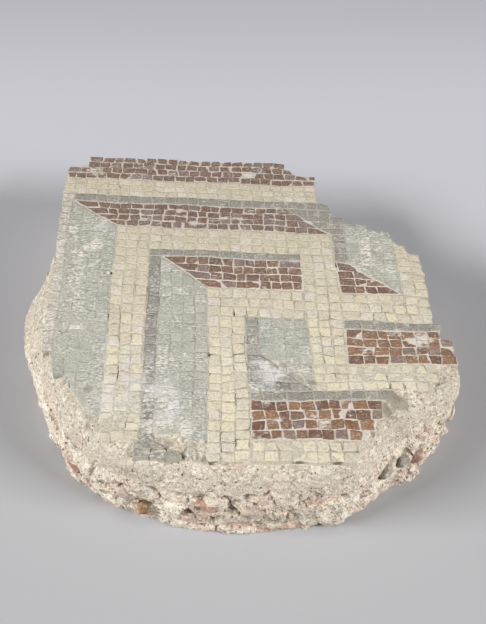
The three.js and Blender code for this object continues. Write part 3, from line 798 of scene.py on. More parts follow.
# %% Stations of the rim
RIM = np.array([
    (-162, 176, 9, 2, 1, -5), (-156, 196, 9, 1, 0, -6), (-132, 208, 9, 1, 0, -8),
    (-90, 206, 9, 1, 0, -6), (-50, 203, 9, 2, 1, -7), (-8, 201, 9, 1, 0, -8),
    (32, 196, 9, 1, 0, -8), (54, 182, 9, 0, -2, -9), (67, 158, 9, 1, 0, -8),
    (80, 128, 9, 1, 0, -8), (108, 105, 9, 1, 0, -8), (132, 90, 9, 0, -2, -9),
    (148, 66, 8, 0, -2, -9), (149, 36, 8, 1, -1, -9), (149, 2, 8, 3, 2, -7),
    (158, -28, 8, 3, 1, -7), (168, -50, 5, 3, 1, -8), (168, -68, 6, 1, -8, -9),
    (152, -88, 5, 6, 6, 3), (126, -101, 4, 10, 16, 16), (107, -112, 4, 12, 22, 22),
    (94, -134, 4, 9, 13, 11), (78, -160, 4, 3, 3, 1), (45, -162, 3, 5, 7, 6),
    (10, -162, 3, 8, 12, 11), (-22, -161, 3, 8, 11, 8), (-48, -154, 3, 9, 14, 11),
    (-80, -153, 4, 3, 4, 2), (-104, -137, 4, 8, 12, 6), (-121, -109, 4, 13, 20, 16),
    (-139, -78, 4, 9, 13, 12), (-155, -46, 4, 9, 9, 7), (-163, -14, 4, 14, 12, 8),
    (-164, 20, 4, 18, 18, 8), (-164, 50, 5, 11, 9, 2), (-163, 85, 6, 2, 2, -3),
    (-163, 130, 8, 2, 1, -5),
], float)


print(len(RIM), "stations on the rim")


def closed_curve(points, places, even=False):
    """Points of a smooth closed curve through the given ones; even keeps it from overshooting."""
    places = np.asarray(places, float) % len(points)
    start = np.floor(places).astype(int)
    t = (places - start)[:, None]
    p0, p1, p2, p3 = [points[(start + k) % len(points)] for k in (-1, 0, 1, 2)]
    if even:
        d0, d1, d2 = [np.sqrt(np.linalg.norm(b - a, axis=1))[:, None]
                      for a, b in ((p0, p1), (p1, p2), (p2, p3))]
        t1 = ((p1 - p0) / d0 - (p2 - p0) / (d0 + d1) + (p2 - p1) / d1) * d1
        t2 = ((p2 - p1) / d1 - (p3 - p1) / (d1 + d2) + (p3 - p2) / d2) * d1
    else:
        t1, t2 = 0.4 * (p2 - p0), 0.4 * (p3 - p1)
    return (p1 + t1 * t + (-3 * p1 + 3 * p2 - 2 * t1 - t2) * t ** 2
            + (2 * p1 - 2 * p2 + t1 + t2) * t ** 3)


def wall_frame(stations):
    """Rim points, outward directions and reaches at any stations."""
    stations = np.asarray(stations, float)
    rim = closed_curve(RIM[:, :3], stations, even=True)
    along = (closed_curve(RIM[:, :3], stations + 0.15, even=True)
             - closed_curve(RIM[:, :3], stations - 0.15, even=True))
    along[:, 2] = 0
    along /= np.linalg.norm(along, axis=1)[:, None]
    outward = np.stack([-along[:, 1], along[:, 0], np.zeros(len(along))], 1)
    return rim, outward, closed_curve(RIM[:, 3:], stations)


def wall_points(stations, shares):
    """Points of the wall at stations, each a share of the height below the rim."""
    rim, outward, reach = wall_frame(stations)
    knots = np.concatenate([np.zeros((len(rim), 1)), reach], 1)
    place = np.clip(np.asarray(shares, float) * 3, 0, 2.9999)
    k = place.astype(int)
    rows = np.arange(len(rim))
    distance = mix(knots[rows, k], knots[rows, k + 1], place - k)
    points = rim + outward * distance[:, None]
    points[:, 2] = (FACE - rim[:, 2]) * (1 - place / 3)
    return points, outward


# %% [markdown]
# Stations lie unevenly, so the columns of the mesh are spread by length along the rim instead. That
# keeps the grains of the broken face the same size everywhere.

# %% Even columns round the rim
COLUMNS = 832
trial = np.linspace(0, len(RIM), 4001)
trace, _ = wall_points(trial, np.full(4001, 0.4))
steps = np.linalg.norm(np.diff(trace, axis=0), axis=1)
lengths = np.concatenate([[0], np.cumsum(steps)])
STATIONS = np.interp(np.linspace(0, lengths[-1], COLUMNS, endpoint=False), lengths, trial)
print("the wall is", round(lengths[-1]), "mm long,", round(lengths[-1] / COLUMNS, 2), "mm a column")

# %% [markdown]
# ## Joints and drift
# A flat quad of the grid becomes the face of a stone when its four sides move in by half a joint.
# Courses are never dead straight, so the whole quad also drifts with a slow wave. Moving the sides
# and meeting them again in new corners keeps a joint equally wide along a leaning quad, which scaling
# the quad would not.

# %% Joints and drift
def shrink(quad, distance):
    """A quad, clockwise from above, with every side moved inwards."""
    edges = []
    for index in range(4):
        start, end = quad[index], quad[(index + 1) % 4]
        along = (end - start) / max(np.linalg.norm(end - start), 1e-6)
        normal = np.array([along[1], -along[0]])
        edges.append((normal, normal @ start + distance))
    corners = []
    for index in range(4):
        (n0, d0), (n1, d1) = edges[index - 1], edges[index]
        corners.append(np.linalg.solve(np.array([n0, n1]), np.array([d0, d1])))
    return np.array(corners)


def drift(x, y):
    """Slow wandering of the courses, in millimetres."""
    return np.stack([0.7 * np.sin(x * 0.083 + y * 0.047) + 0.35 * np.sin(x * 0.31 - y * 0.21),
                     0.7 * np.sin(y * 0.071 - x * 0.059 + 1) + 0.45 * np.sin(x * 0.23 + y * 0.13)], -1)


# %% [markdown]
# ## Open joints, lost stones and the broken edge
# In some places the mortar has fallen out and a joint is an open dark slot: the corners beside it part
# a little, and later the mortar sinks there. Elsewhere whole stones have gone, and lime fills their
# beds. At the broken edge the stones that stand out beyond the mortar are chipped, and of the grey
# stones at the front only a wedge is left. All of this is done to the quads, before any mesh is made.

# %% Damage to the courses
# Two ends of each open joint, in plan millimetres.
OPEN_JOINTS = [
    ((-114, 166), (-113, 160)), ((-101, 169), (-99, 163)), ((-99, 163), (-101, 156)),
    ((-96, 79), (-97, 75)), ((-26, 78), (-26, 75)), ((-21, 11), (-20, 5)), ((-20, 4), (-10, 3)),
    ((-8, 2), (-7, -2)), ((-110, -3), (-110, -7)), ((-101, -10), (-101, -15)),
    ((-98, -66), (-98, -74)), ((80, 61), (80, 57)), ((-60, -31), (-60, -35)), ((40, -89), (40, -93)),
    ((88, 9), (88, 5)), ((-115, 48), (-111, 48)), ((-13, -22), (-9, -22)), ((-31, -47), (-24, -48)),
    ((-66, -139.5), (-65.5, -145.5)), ((-56, -142), (-56, -147.5)), ((-90, -120), (-84, -121)),
]
# Where whole stones have gone: middle, radii and share of the stones lost.
LOST = [
    (150, -31, 8, 6, 0.4), (10, -134, 6, 4, 1.0), (76, -98, 7, 3, 0.5),
    (-104, -122, 8, 8, 0.6), (-120, -86, 8, 14, 0.6), (-132, -60, 8, 16, 0.5), (-62, -128, 20, 5, 0.5),
    (10, -38, 4, 5, 1.0), (-146, -30, 6, 14, 0.5), (150, -60, 8, 6, 0.8), (5, 182, 4, 4, 1.0),
    (-46, -137, 6, 4, 1.0),
]
rim_line, _ = wall_points(STATIONS, np.zeros(COLUMNS))


def along_segment(x, y, start, end):
    """Offset of each position from the nearest point of a straight joint, and its length."""
    start, end = np.array(start, float), np.array(end, float)
    here = np.stack([x, y], -1)
    run = end - start
    t = np.clip(((here - start) @ run) / (run @ run), 0, 1)
    offset = here - (start + t[..., None] * run)
    return offset, np.linalg.norm(offset, axis=-1)


def part_at_joints(corners):
    """Moves the corners beside an open joint away from it."""
    moved = corners.copy()
    for start, end in OPEN_JOINTS:
        offset, distance = along_segment(corners[:, 0], corners[:, 1], start, end)
        near = (distance < 2.6)[:, None]
        moved += near * offset / np.maximum(distance, 0.2)[:, None] * 0.35
    return moved


def is_lost(x, y, seed):
    for px, py, rx, ry, share in LOST:
        if math.hypot((x - px) / rx, (y - py) / ry) < 1 and chance(seed + 2.2) < share:
            return True
    return False


def chip_at_rim(corners, seed):
    """Draws in by chance the corners that stand out beyond the broken edge of the mortar."""
    beyond = ~inside_polygon(corners[:, 0], corners[:, 1], rim_line[:, :2])
    pull = beyond * 0.5 * chance(seed + np.arange(4) * 0.7) ** 1.5
    return mix(corners, corners.mean(0), pull[:, None])


def remnant_top(x):
    """Upper edge of the wedge of grey stones at the front, which narrows to the right."""
    return -134 - 0.62 * np.maximum(x + 70, 0) - 0.5 * np.maximum(-74 - x, 0)


print(len(OPEN_JOINTS), "open joints and", len(LOST), "places where stones are lost")

# %% [markdown]
# ## Laying the fields
# Every field becomes one piece and takes the place of its solid. Each stone gets its own height and
# tilt, so that the light catches it differently from its neighbours. Its corners carry its shade, its
# lime, haze and stain, and the place across its face, and then the tree raises all of them at once.

# %% Lay the tesserae
SLOTS = {
    "red": "red_tesserae", "cream": "cream_tesserae", "pale": "cream_tesserae",
    "grey": "grey_tesserae", "violet": "violet_grey_tesserae", "green": "green_tesserae",
}


def claim(obj, slot, *nodes):
    """Puts a finished piece on the body, in the place of its solids."""
    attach(obj, "root")
    if nodes:
        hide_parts(*nodes)


def lay_field(name, tone, quads, number):
    points, faces, stone, lime, haze, stain, across = [], [], [], [], [], [], []
    jitter = TONES[tone]["jitter"] * PITCH / 2
    for index, quad in enumerate(quads):
        seed = number * 71.3 + index * 1.7
        middle = quad.mean(0)
        if is_lost(middle[0], middle[1], seed):
            continue
        small = shrink(quad, TONES[tone]["joint"] / 2 * (0.75 + 0.5 * chance(seed + 2.9)))
        small = small + [[wobble(seed + k * 0.37, jitter), wobble(seed + k * 0.53, jitter)]
                         for k in (3, 4, 5, 6)]
        small = chip_at_rim(part_at_joints(small + drift(small[:, 0], small[:, 1])), seed)
        if name == "grey_remnant_front":
            if small[:, 1].mean() > remnant_top(small[:, 0].mean()):
                continue
            small[:, 1] = np.minimum(small[:, 1], remnant_top(small[:, 0]))
        middle = small.mean(0)
        height = FACE - 0.12 + wobble(seed, 0.1)
        tilt = np.array([wobble(seed + 0.3, 0.02), wobble(seed + 0.6, 0.02)])
        heights = height + (small - middle) @ tilt
        base = len(points)
        points += [(x, y, z) for (x, y), z in zip(small, heights)]
        faces.append((base + 3, base + 2, base + 1, base))
        across += [(0, 0, 0), (1, 0, 0), (1, 1, 0), (0, 1, 0)]
        stone += [chance(seed + 0.9)] * 4
        own_lime = 0.5 * max(0.0, chance(seed + 1.2) * 3 - 2)
        lime += list(patch_cover(small[:, 0], small[:, 1], LIME_PATCHES) + own_lime)
        haze += list(patch_cover(small[:, 0], small[:, 1], HAZE_PATCHES))
        stain += list(patch_cover(small[:, 0], small[:, 1], STAIN_PATCHES))
    obj = put_mesh(name + "_tesserae", to_frame(points), faces,
                   {"stone": stone, "lime": lime, "haze": haze, "stain": stain, "across": across})
    bake_tree(obj, raise_tesserae, {"Seed": number, "Finish": TONES[tone]["finish"]})
    claim(obj, SLOTS[tone], name)
    return obj


stones = [lay_field(name, tone, laid[name], number)
          for number, (name, tone, along, corners) in enumerate(FIELDS)]
print(sum(triangles_of(obj) for obj in stones), "triangles in the tesserae")

# %% [markdown]
# ## The border between the two mortars
# The fine bedding mortar lies over the coarse rubble mortar, and the border between them rises and
# falls with the hand that spread it. It is a height over the plan, as in the solid model. On the wall
# it has to be found by closing in on it, because the wall leans.

# %% Border of the mortars
def border_height(x, y):
    return 41 + 3.5 * (np.sin(x * 0.051 + 1) * np.cos(y * 0.043) + 0.35 * np.sin(x * 0.37 + y * 0.11))


def border_shares():
    """For each column, the share of the height at which one mortar gives way to the other."""
    rim, _, _ = wall_frame(STATIONS)
    share = np.full(COLUMNS, 0.35)
    for _ in range(4):
        points, _ = wall_points(STATIONS, share)
        share = 1 - border_height(points[:, 0], points[:, 1]) / (FACE - rim[:, 2])
    return share


share_at_border = border_shares()
at_border, _ = wall_points(STATIONS, share_at_border)
print("the mortars meet", at_border[:, 2].min().round(), "to", at_border[:, 2].max().round(), "mm up")

# %% [markdown]
# ## Shells from rings
# Each mortar is one closed shell, made as a stack of rings: down the wall, and then inwards over the
# top or the underside, with half as many corners where the rings get small. Sculpting and remeshing
# would spread the same detail everywhere. A stack of rings puts it on the wall, where it can be seen.

# %% Shells from rings
class Shell:
    """Rings of points, each joined to the one before, from one middle point to another."""

    def __init__(self):
        self.points, self.out, self.rough, self.faces = [], [], [], []
        self.size = 0
        self.last = None

    def ring(self, points, out, rough):
        points = np.atleast_2d(points)
        self.points.append(points)
        self.out.append(np.broadcast_to(out, points.shape))
        self.rough.append(np.broadcast_to(rough, len(points)))
        if self.last:
            self.join(self.last, (self.size, len(points)))
        self.last = (self.size, len(points))
        self.size += len(points)

    def join(self, before, after):
        (a, many), (b, few) = before, after
        if few == 1:
            self.faces += [(a + k, b, a + (k + 1) % many) for k in range(many)]
        for k in range(few if few > 1 else 0):
            n = (k + 1) % few
            if many == 1:
                self.faces.append((a, b + k, b + n))
            elif many == few:
                self.faces.append((a + k, b + k, b + n, a + n))
            else:
                left, middle, right = a + 2 * k, a + 2 * k + 1, a + (2 * k + 2) % many
                self.faces += [(left, b + k, middle), (middle, b + k, b + n), (middle, b + n, right)]

    def disc(self, height, out, rough, step=1.6):
        """Rings from the last one inwards to the middle, at a height that depends on the place."""
        outer = self.points[-1]
        radius = np.linalg.norm(outer[:, :2], axis=1).mean()
        count = len(outer)
        for share in np.arange(1 - step / radius, 0.04, -step / radius):
            if share < 0.56 * count / COLUMNS and count > 60:
                count //= 2
            edge = outer[:: COLUMNS // count]
            plan = edge[:, :2] * share
            self.ring(np.column_stack([plan, height(plan, share, edge[:, 2])]), out,
                      rough(plan, share))
        middle = np.zeros((1, 2))
        self.ring(np.column_stack([middle, height(middle, 0.0, outer[:1, 2])]), out, 0.1)

    def soften(self, first, last, times, strength):
        """Rounds an edge by averaging neighbouring rings; strength is one number for each column."""
        rings = [p.copy() for p in self.points[first:last]]
        pull = (0.5 * strength)[:, None]
        for _ in range(times):
            rings = [rings[0]] + [b + ((a + c) / 2 - b) * pull
                                  for a, b, c in zip(rings, rings[1:], rings[2:])] + [rings[-1]]
        self.points[first:last] = rings

    def build(self, name, more):
        """The mesh object, faces turned outwards; more gives further numbers from the points."""
        points = np.concatenate(self.points)
        faces = self.faces
        # Every seventh face is enough to tell whether they look outwards from a point inside.
        sample = points[[face[:3] for face in faces[::7]]] - [0, 0, 40]
        if np.einsum("ij,ij->i", sample[:, 0], np.cross(sample[:, 1], sample[:, 2])).sum() < 0:
            faces = [tuple(reversed(face)) for face in faces]
        attributes = {"out": np.concatenate(self.out), "rough": np.concatenate(self.rough)}
        attributes.update(more(points))
        return put_mesh(name, to_frame(points), faces, attributes)


# %% [markdown]
# ## Mortar between the stones
# The mortar stands a quarter of a millimetre or so below the faces, and higher where lime has spread
# over it. It is whitish between the red stones and takes something of the stones' own colour
# elsewhere. Where the tesserae are lost it is bare and rough and falls away to the rim. Each number
# is looked up by the field that a point lies in, so stones and mortar can't disagree.

# %% Mortar height on the face of the panel
JOINT_DROP = {"red": 0.28, "cream": 0.24, "pale": 0.3, "grey": 0.26, "violet": 0.4, "green": 0.22}
FIELD_TINTS = {
    "red": "DDD1C4", "cream": "CFC6B2", "pale": "BDB6A8", "grey": "BBB5A8", "violet": "B0AAA1",
    "green": "BDBBAD",
}
BARE_TINT = "CBBFAD"
WALL_TINT = "D2C6B4"


def field_at(x, y):
    """Number of the field at each plan position, and -1 beyond the tesserae."""
    column, row = grid_place(x, y)
    found = np.full(np.shape(x), -1)
    for number, (name, tone, along, corners) in enumerate(FIELDS):
        found[inside_polygon(column, row, corners)] = number
    found[~inside_polygon(x, y, KEPT)] = -1
    found[(y > remnant_top(x) + 1) & (y < -130) & (x < -40)] = -1
    return found


def rim_fall(share):
    return smooth_step(0.90, 1.0, share)


# One row for each field and a last one for the bare mortar, which field_at numbers -1.
DROPS = np.array([JOINT_DROP[tone] for _, tone, _, _ in FIELDS] + [0.6])
LIFTS = np.array([0.03 if tone == "red" else 0.16 for _, tone, _, _ in FIELDS] + [0.0])
TINTS = np.array([paint(FIELD_TINTS[tone])[:3] for _, tone, _, _ in FIELDS] + [paint(BARE_TINT)[:3]])
print("joints lie", DROPS.min(), "to", DROPS[:-1].max(), "mm below the faces")

# %% [markdown]
# ## Hollows
# Stones and lumps have fallen out of the walls and left dark hollows. Each is a dent with a station, a
# height, half its width and height, and a depth, all in millimetres. Cutting them with booleans would
# leave sharp rims, so the rings of the wall are pushed in before the shell is made.

# %% Dents in the walls
HOLLOWS = [
    (26.75, 18, 8, 4, 8), (27.3, 31, 3, 5, 5), (28.9, 37, 3, 2.5, 5), (29.5, 47, 3, 2, 4),
    (24.55, 24, 7, 4, 8), (24.0, 33, 3, 2, 5), (25.35, 34, 4, 2, 5), (25.6, 20, 5, 5, 6),
    (19.3, 25, 4, 5, 6), (21.6, 20, 4, 5, 4), (23.3, 20, 5, 4, 5), (30.6, 30, 3, 2.5, 4),
    (22.2, 36, 2, 2, 4), (28.2, 14, 4, 3, 5), (25.0, 13, 4, 3, 5), (23.7, 12, 6, 3, 4),
    (33.2, 20, 6, 6, 4), (16.2, 20, 6, 8, 4), (12.3, 22, 6, 6, 4), (5.4, 20, 7, 6, 4),
    (1.8, 18, 7, 6, 4), (9.2, 24, 6, 7, 4), (35.4, 24, 7, 6, 4),
]
print(len(HOLLOWS), "hollows in the walls")


def dent_depth(stations, heights):
    """How far the hollows push the wall in, in millimetres."""
    depth = np.zeros(len(stations))
    centres, _ = wall_points([h[0] for h in HOLLOWS], [1 - h[1] / 60 for h in HOLLOWS])
    here, _ = wall_points(stations, 1 - heights / 60)
    for centre, (station, height, half_width, half_height, deep) in zip(centres, HOLLOWS):
        across = np.linalg.norm(here[:, :2] - centre[:2], axis=1) / half_width
        up = (heights - height) / half_height
        ripple = 1 + 0.35 * np.sin(2.6 * up + 3.4 * across + station * 7)
        depth = np.maximum(depth, deep * (1 - smooth_step(0.35, 1.2, np.hypot(across, up) * ripple)))
    return depth


def wall_ring(shell, shares, rough):
    points, outward = wall_points(STATIONS, shares)
    depth = dent_depth(STATIONS, points[:, 2])
    shell.ring(points - outward * depth[:, None], outward, rough)


# %% [markdown]
# ## What the mortar carries
# Like the stones, the mortar carries numbers for its finish: its tint, the lime, haze and stain from
# the same patches, whether a point lies in a joint, and whether that joint is open. Stored on the
# points, they follow the relief that is added later.

# %% Tint of the mortar
def mortar_numbers(points):
    """Tint, lime, haze, stain, joint and open joint at the points of a shell."""
    x, y, z = points.T
    number = field_at(x, y)
    high = z > FACE - 8
    tint = TINTS[number] * mix(1.0, 0.84, smooth_step(20, 150, y))[:, None]
    tint[~high] = paint(BARE_TINT)[:3]
    tint[z < 42] = paint(WALL_TINT)[:3]
    # gap marks the open joints, which the mortar finish paints near black as the shade in the slot and
    # some dirt.
    gap = np.zeros(len(x))
    for start, end in OPEN_JOINTS:
        _, distance = along_segment(x, y, start, end)
        gap = np.maximum(gap, 1 - smooth_step(0.9, 2.2, distance))
    return {"tint": tint, "lime": patch_cover(x, y, LIME_PATCHES) * high,
            "haze": patch_cover(x, y, HAZE_PATCHES) * high,
            "stain": patch_cover(x, y, STAIN_PATCHES) * high,
            "joint": ((number >= 0) & high).astype(float), "gap": gap * high * (number >= 0)}


# %% [markdown]
# ## Ledges under the outer stones
# Along the back and the right the outer tesserae stand out a little beyond the rim, and some mortar
# still clings below them. Probes go outwards from the rim in half millimetres, and the furthest one
# that lies under a stone tells how far the mortar's top edge has to reach.

# %% How far the stones stand out beyond the rim
def overhang():
    """For each column, how far the outer tesserae stand out beyond the rim, in millimetres."""
    rim, outward, _ = wall_frame(STATIONS)
    steps = np.arange(0.5, 9.0, 0.5)
    probes = (rim[:, None] + outward[:, None] * steps[:, None])[:, :, :2]
    covered = np.zeros(probes.shape[:2], bool)
    for quads in laid.values():
        for quad in quads:
            covered |= inside_polygon(probes[..., 0], probes[..., 1], quad)
    return (covered * steps).max(1)


LIP = np.maximum(overhang() - 1.0, 0)
print("the outer stones stand out by up to", LIP.max() + 1, "mm")

# %% [markdown]
# ## The bedding mortar
# The fine upper mortar starts at a middle point inside, runs out along the border, up the wall, over
# the top edge, and inwards over the face of the panel. The top follows the joints and the bare places
# of the fields. Where the wall is shallow below the rim its edge is worn round, by averaging
# neighbouring rings, but the beds of the stones are left alone.

# %% The bedding shell
def top_height(plan, share, edge):
    number = field_at(plan[:, 0], plan[:, 1])
    level = FACE - DROPS[number]
    level += LIFTS[number] * patch_cover(plan[:, 0], plan[:, 1], LIME_PATCHES)
    fall = np.where(number >= 0, smooth_step(0.985, 1.0, share), rim_fall(share))
    for start, end in OPEN_JOINTS:
        _, distance = along_segment(plan[:, 0], plan[:, 1], start, end)
        level = level - 3.0 * (1 - smooth_step(0.6, 1.8, distance)) * (number >= 0)
    return mix(level, edge, fall)


def top_rough(plan, share):
    bare = field_at(plan[:, 0], plan[:, 1]) < 0
    return np.where(bare, 0.6 + 0.3 * rim_fall(share), 0.05)


bedding = Shell()
bedding.ring([0.0, 0.0, 41.0], (0.0, 0.0, -1.0), 0.0)
bedding.ring(at_border * [0.6, 0.6, 1], (0.0, 0.0, -1.0), 0.0)
bedding.ring(at_border * [0.9, 0.9, 1], (0.0, 0.0, -1.0), 0.0)
UPPER_ROWS = 14
for row in range(UPPER_ROWS, 0, -1):
    wall_ring(bedding, share_at_border * row / UPPER_ROWS, 0.85)
rim, outward, _ = wall_frame(STATIONS)
edge_line, _ = wall_points(STATIONS, np.zeros(COLUMNS))
edge_line += outward * LIP[:, None]
edge_line[:, 2] = mix(edge_line[:, 2], FACE - 1.6, smooth_step(0, 1, LIP))
bedding.ring(edge_line, outward, mix(0.85, 0.1, smooth_step(0, 1, LIP)))
bedding.disc(top_height, (0.0, 0.0, 1.0), top_rough)

shallow = (0.1 + 0.9 * smooth_step(8.0, 5.0, rim[:, 2])) * (LIP < 0.5)
before = [p.copy() for p in bedding.points]
bedding.soften(4, UPPER_ROWS + 16, 60, shallow)
for k in range(4, UPPER_ROWS + 16):
    x, y, z = before[k].T
    kept = (field_at(x, y) >= 0) & (z > FACE - 3)
    bedding.points[k][kept] = before[k][kept]
bedding_mortar = bedding.build("bedding_mortar_face", mortar_numbers)
print("bedding mortar:", triangles_of(bedding_mortar), "triangles")

# %% [markdown]
# ## The rubble mortar
# The coarse lower mortar goes the other way: from the same ring at the border down the wall to the
# foot, and inwards over the underside. Both shells use the same columns and the same ring, so no gap
# opens between them. The underside is hollowed by less than a millimetre, so that the fragment rests
# on its edge and doesn't rock.

# %% The rubble shell
def under_height(plan, share, edge):
    return np.full(len(plan), mix(0.7, 0.0, smooth_step(0.9, 1.0, share)))


rubble = Shell()
rubble.ring([0.0, 0.0, 41.0], (0.0, 0.0, 1.0), 0.0)
rubble.ring(at_border * [0.6, 0.6, 1], (0.0, 0.0, 1.0), 0.0)
rubble.ring(at_border * [0.9, 0.9, 1], (0.0, 0.0, 1.0), 0.0)
LOWER_ROWS = 28
for row in range(LOWER_ROWS + 1):
    wall_ring(rubble, mix(share_at_border, 1.0, row / LOWER_ROWS), 1.0 if row else 0.8)
rubble.disc(under_height, (0.0, 0.0, -1.0), lambda plan, share: 0.25, 1.9)
rubble_mortar = rubble.build("rubble_mortar_face", mortar_numbers)
print("rubble mortar:", triangles_of(rubble_mortar), "triangles")

# %% [markdown]
# ## Relief of broken mortar
# Broken mortar is lumpy: soft lumps as big as a thumb, flat clods with crevices between them, sand,
# and pits where a grain has dropped out. Sculpting all that by hand takes days, and a displacement
# in the material is lost in an export. So one geometry tree adds each of them, with its own size and
# height, along the direction stored on the points. It also leaves numbers where the pits, clods and
# crevices are, for the finish to colour.

# %% Tree that roughens a surface
def relief_tree():
    knobs = {
        "Lump size": ("float", 0.016), "Lump height": ("float", 0.002),
        "Clod size": ("float", 0.012), "Clod height": ("float", 0.001),
        "Crevice depth": ("float", 0.001), "Flatness": ("float", 1.7),
        "Sand size": ("float", 0.0018), "Sand height": ("float", 0.0006),
        "Pit size": ("float", 0.008), "Pit depth": ("float", 0.003), "Pit share": ("float", 0.1),
        "Finish": ("material", None),
    }
    tree, board, wires = geometry_tree("roughen_surface", knobs)
    place = board.node("GeometryNodeInputPosition")
    out = board.stored("out", "FLOAT_VECTOR")
    rough = board.stored("rough", "FLOAT")

    def noise_of(size, detail=2.0, output="Fac"):
        return board.node("ShaderNodeTexNoise", None,
                          {"Vector": place, "Scale": 1.0 / size, "Detail": detail}, output)

    def cells_of(size, vector, feature="F1"):
        return board.node("ShaderNodeTexVoronoi", {"feature": feature},
                          {"Vector": vector, "Scale": 1.0 / size}, "Distance")

    half = (0.5, 0.5, 0.5)
    swirl = board.scaled(board.vector("SUBTRACT", noise_of(0.011, 3.0, "Color"), half), 0.012)
    squeeze = board.node("ShaderNodeCombineXYZ", None, {"X": 1.0, "Y": 1.0, "Z": wires["Flatness"]})
    bent = board.vector("MULTIPLY", board.vector("ADD", place, swirl), squeeze)
    edge = cells_of(wires["Clod size"], bent, "DISTANCE_TO_EDGE")
    clod = cells_of(wires["Clod size"], bent)
    own = board.part(clod.twin("Color"), "X")
    pillow = board.ramp(edge, 0.0, 0.45)
    crevice = board.ramp(edge, 0.06, 0.0) * board.ramp(noise_of(0.02), 0.42, 0.58)
    lumps = (noise_of(wires["Lump size"]) - 0.5) * wires["Lump height"] * 3.0
    clods = (pillow * 0.6 + own - 0.8) * wires["Clod height"] - crevice * wires["Crevice depth"]
    sand = (noise_of(wires["Sand size"], 3.0) - 0.5) * wires["Sand height"] * 3.0
    holes = cells_of(wires["Pit size"], place)
    lucky = board.part(holes.twin("Color"), "X")
    pit = board.ramp(holes, 0.36, 0.18) * board.maths("LESS_THAN", lucky, wires["Pit share"])
    relief = (lumps + clods + sand - pit * wires["Pit depth"]) * rough
    lean = board.scaled(board.vector("SUBTRACT", noise_of(0.009, 1.0, "Color"), half),
                        rough * wires["Clod height"])
    offset = board.vector("ADD", board.scaled(out, relief), lean)
    moved = board.node("GeometryNodeSetPosition", None,
                       {"Geometry": wires["Geometry"], "Offset": offset})
    for name, value in (("pit", pit * rough), ("clod", own), ("crevice", crevice * rough)):
        moved = board.store(moved, name, value, "POINT")
    close_tree(board, moved, wires["Finish"])
    return tree


roughen_surface = relief_tree()
print(len(roughen_surface.nodes), "nodes roughen a surface")

# %% [markdown]
# ## Finish of the mortar
# Old lime mortar is a pale sandy grey. It is full of specks: white lumps of lime, dark and light sand,
# small holes and, in the rubble mortar, pink crushed brick and flat slabs. Each kind of speck is a cell
# pattern at its own size, in which only some cells count. The sand is made lighter and darker than it
# is, as painted highlights and painted shade of the rough break, and the small holes are dark specks of
# painted shade. A pale crust gathers where the break is rough, painted shade darkens the pits and
# crevices, and open joints are painted near black, as the shade in the slot and some dirt.

# %% Mortar finish
def specks(board, place, size, share, reach=0.45):
    """Spots of a size in millimetres, in a share of the cells of a cell pattern."""
    cells = board.node("ShaderNodeTexVoronoi", None,
                       {"Vector": place, "Scale": 1 / (size * MM)}, "Distance")
    pick_cell = board.node("ShaderNodeSeparateColor", None, {0: cells.twin("Color")}, "Red")
    chosen = board.maths("LESS_THAN", pick_cell, share)
    return board.ramp(cells, reach, reach * 0.6) * chosen


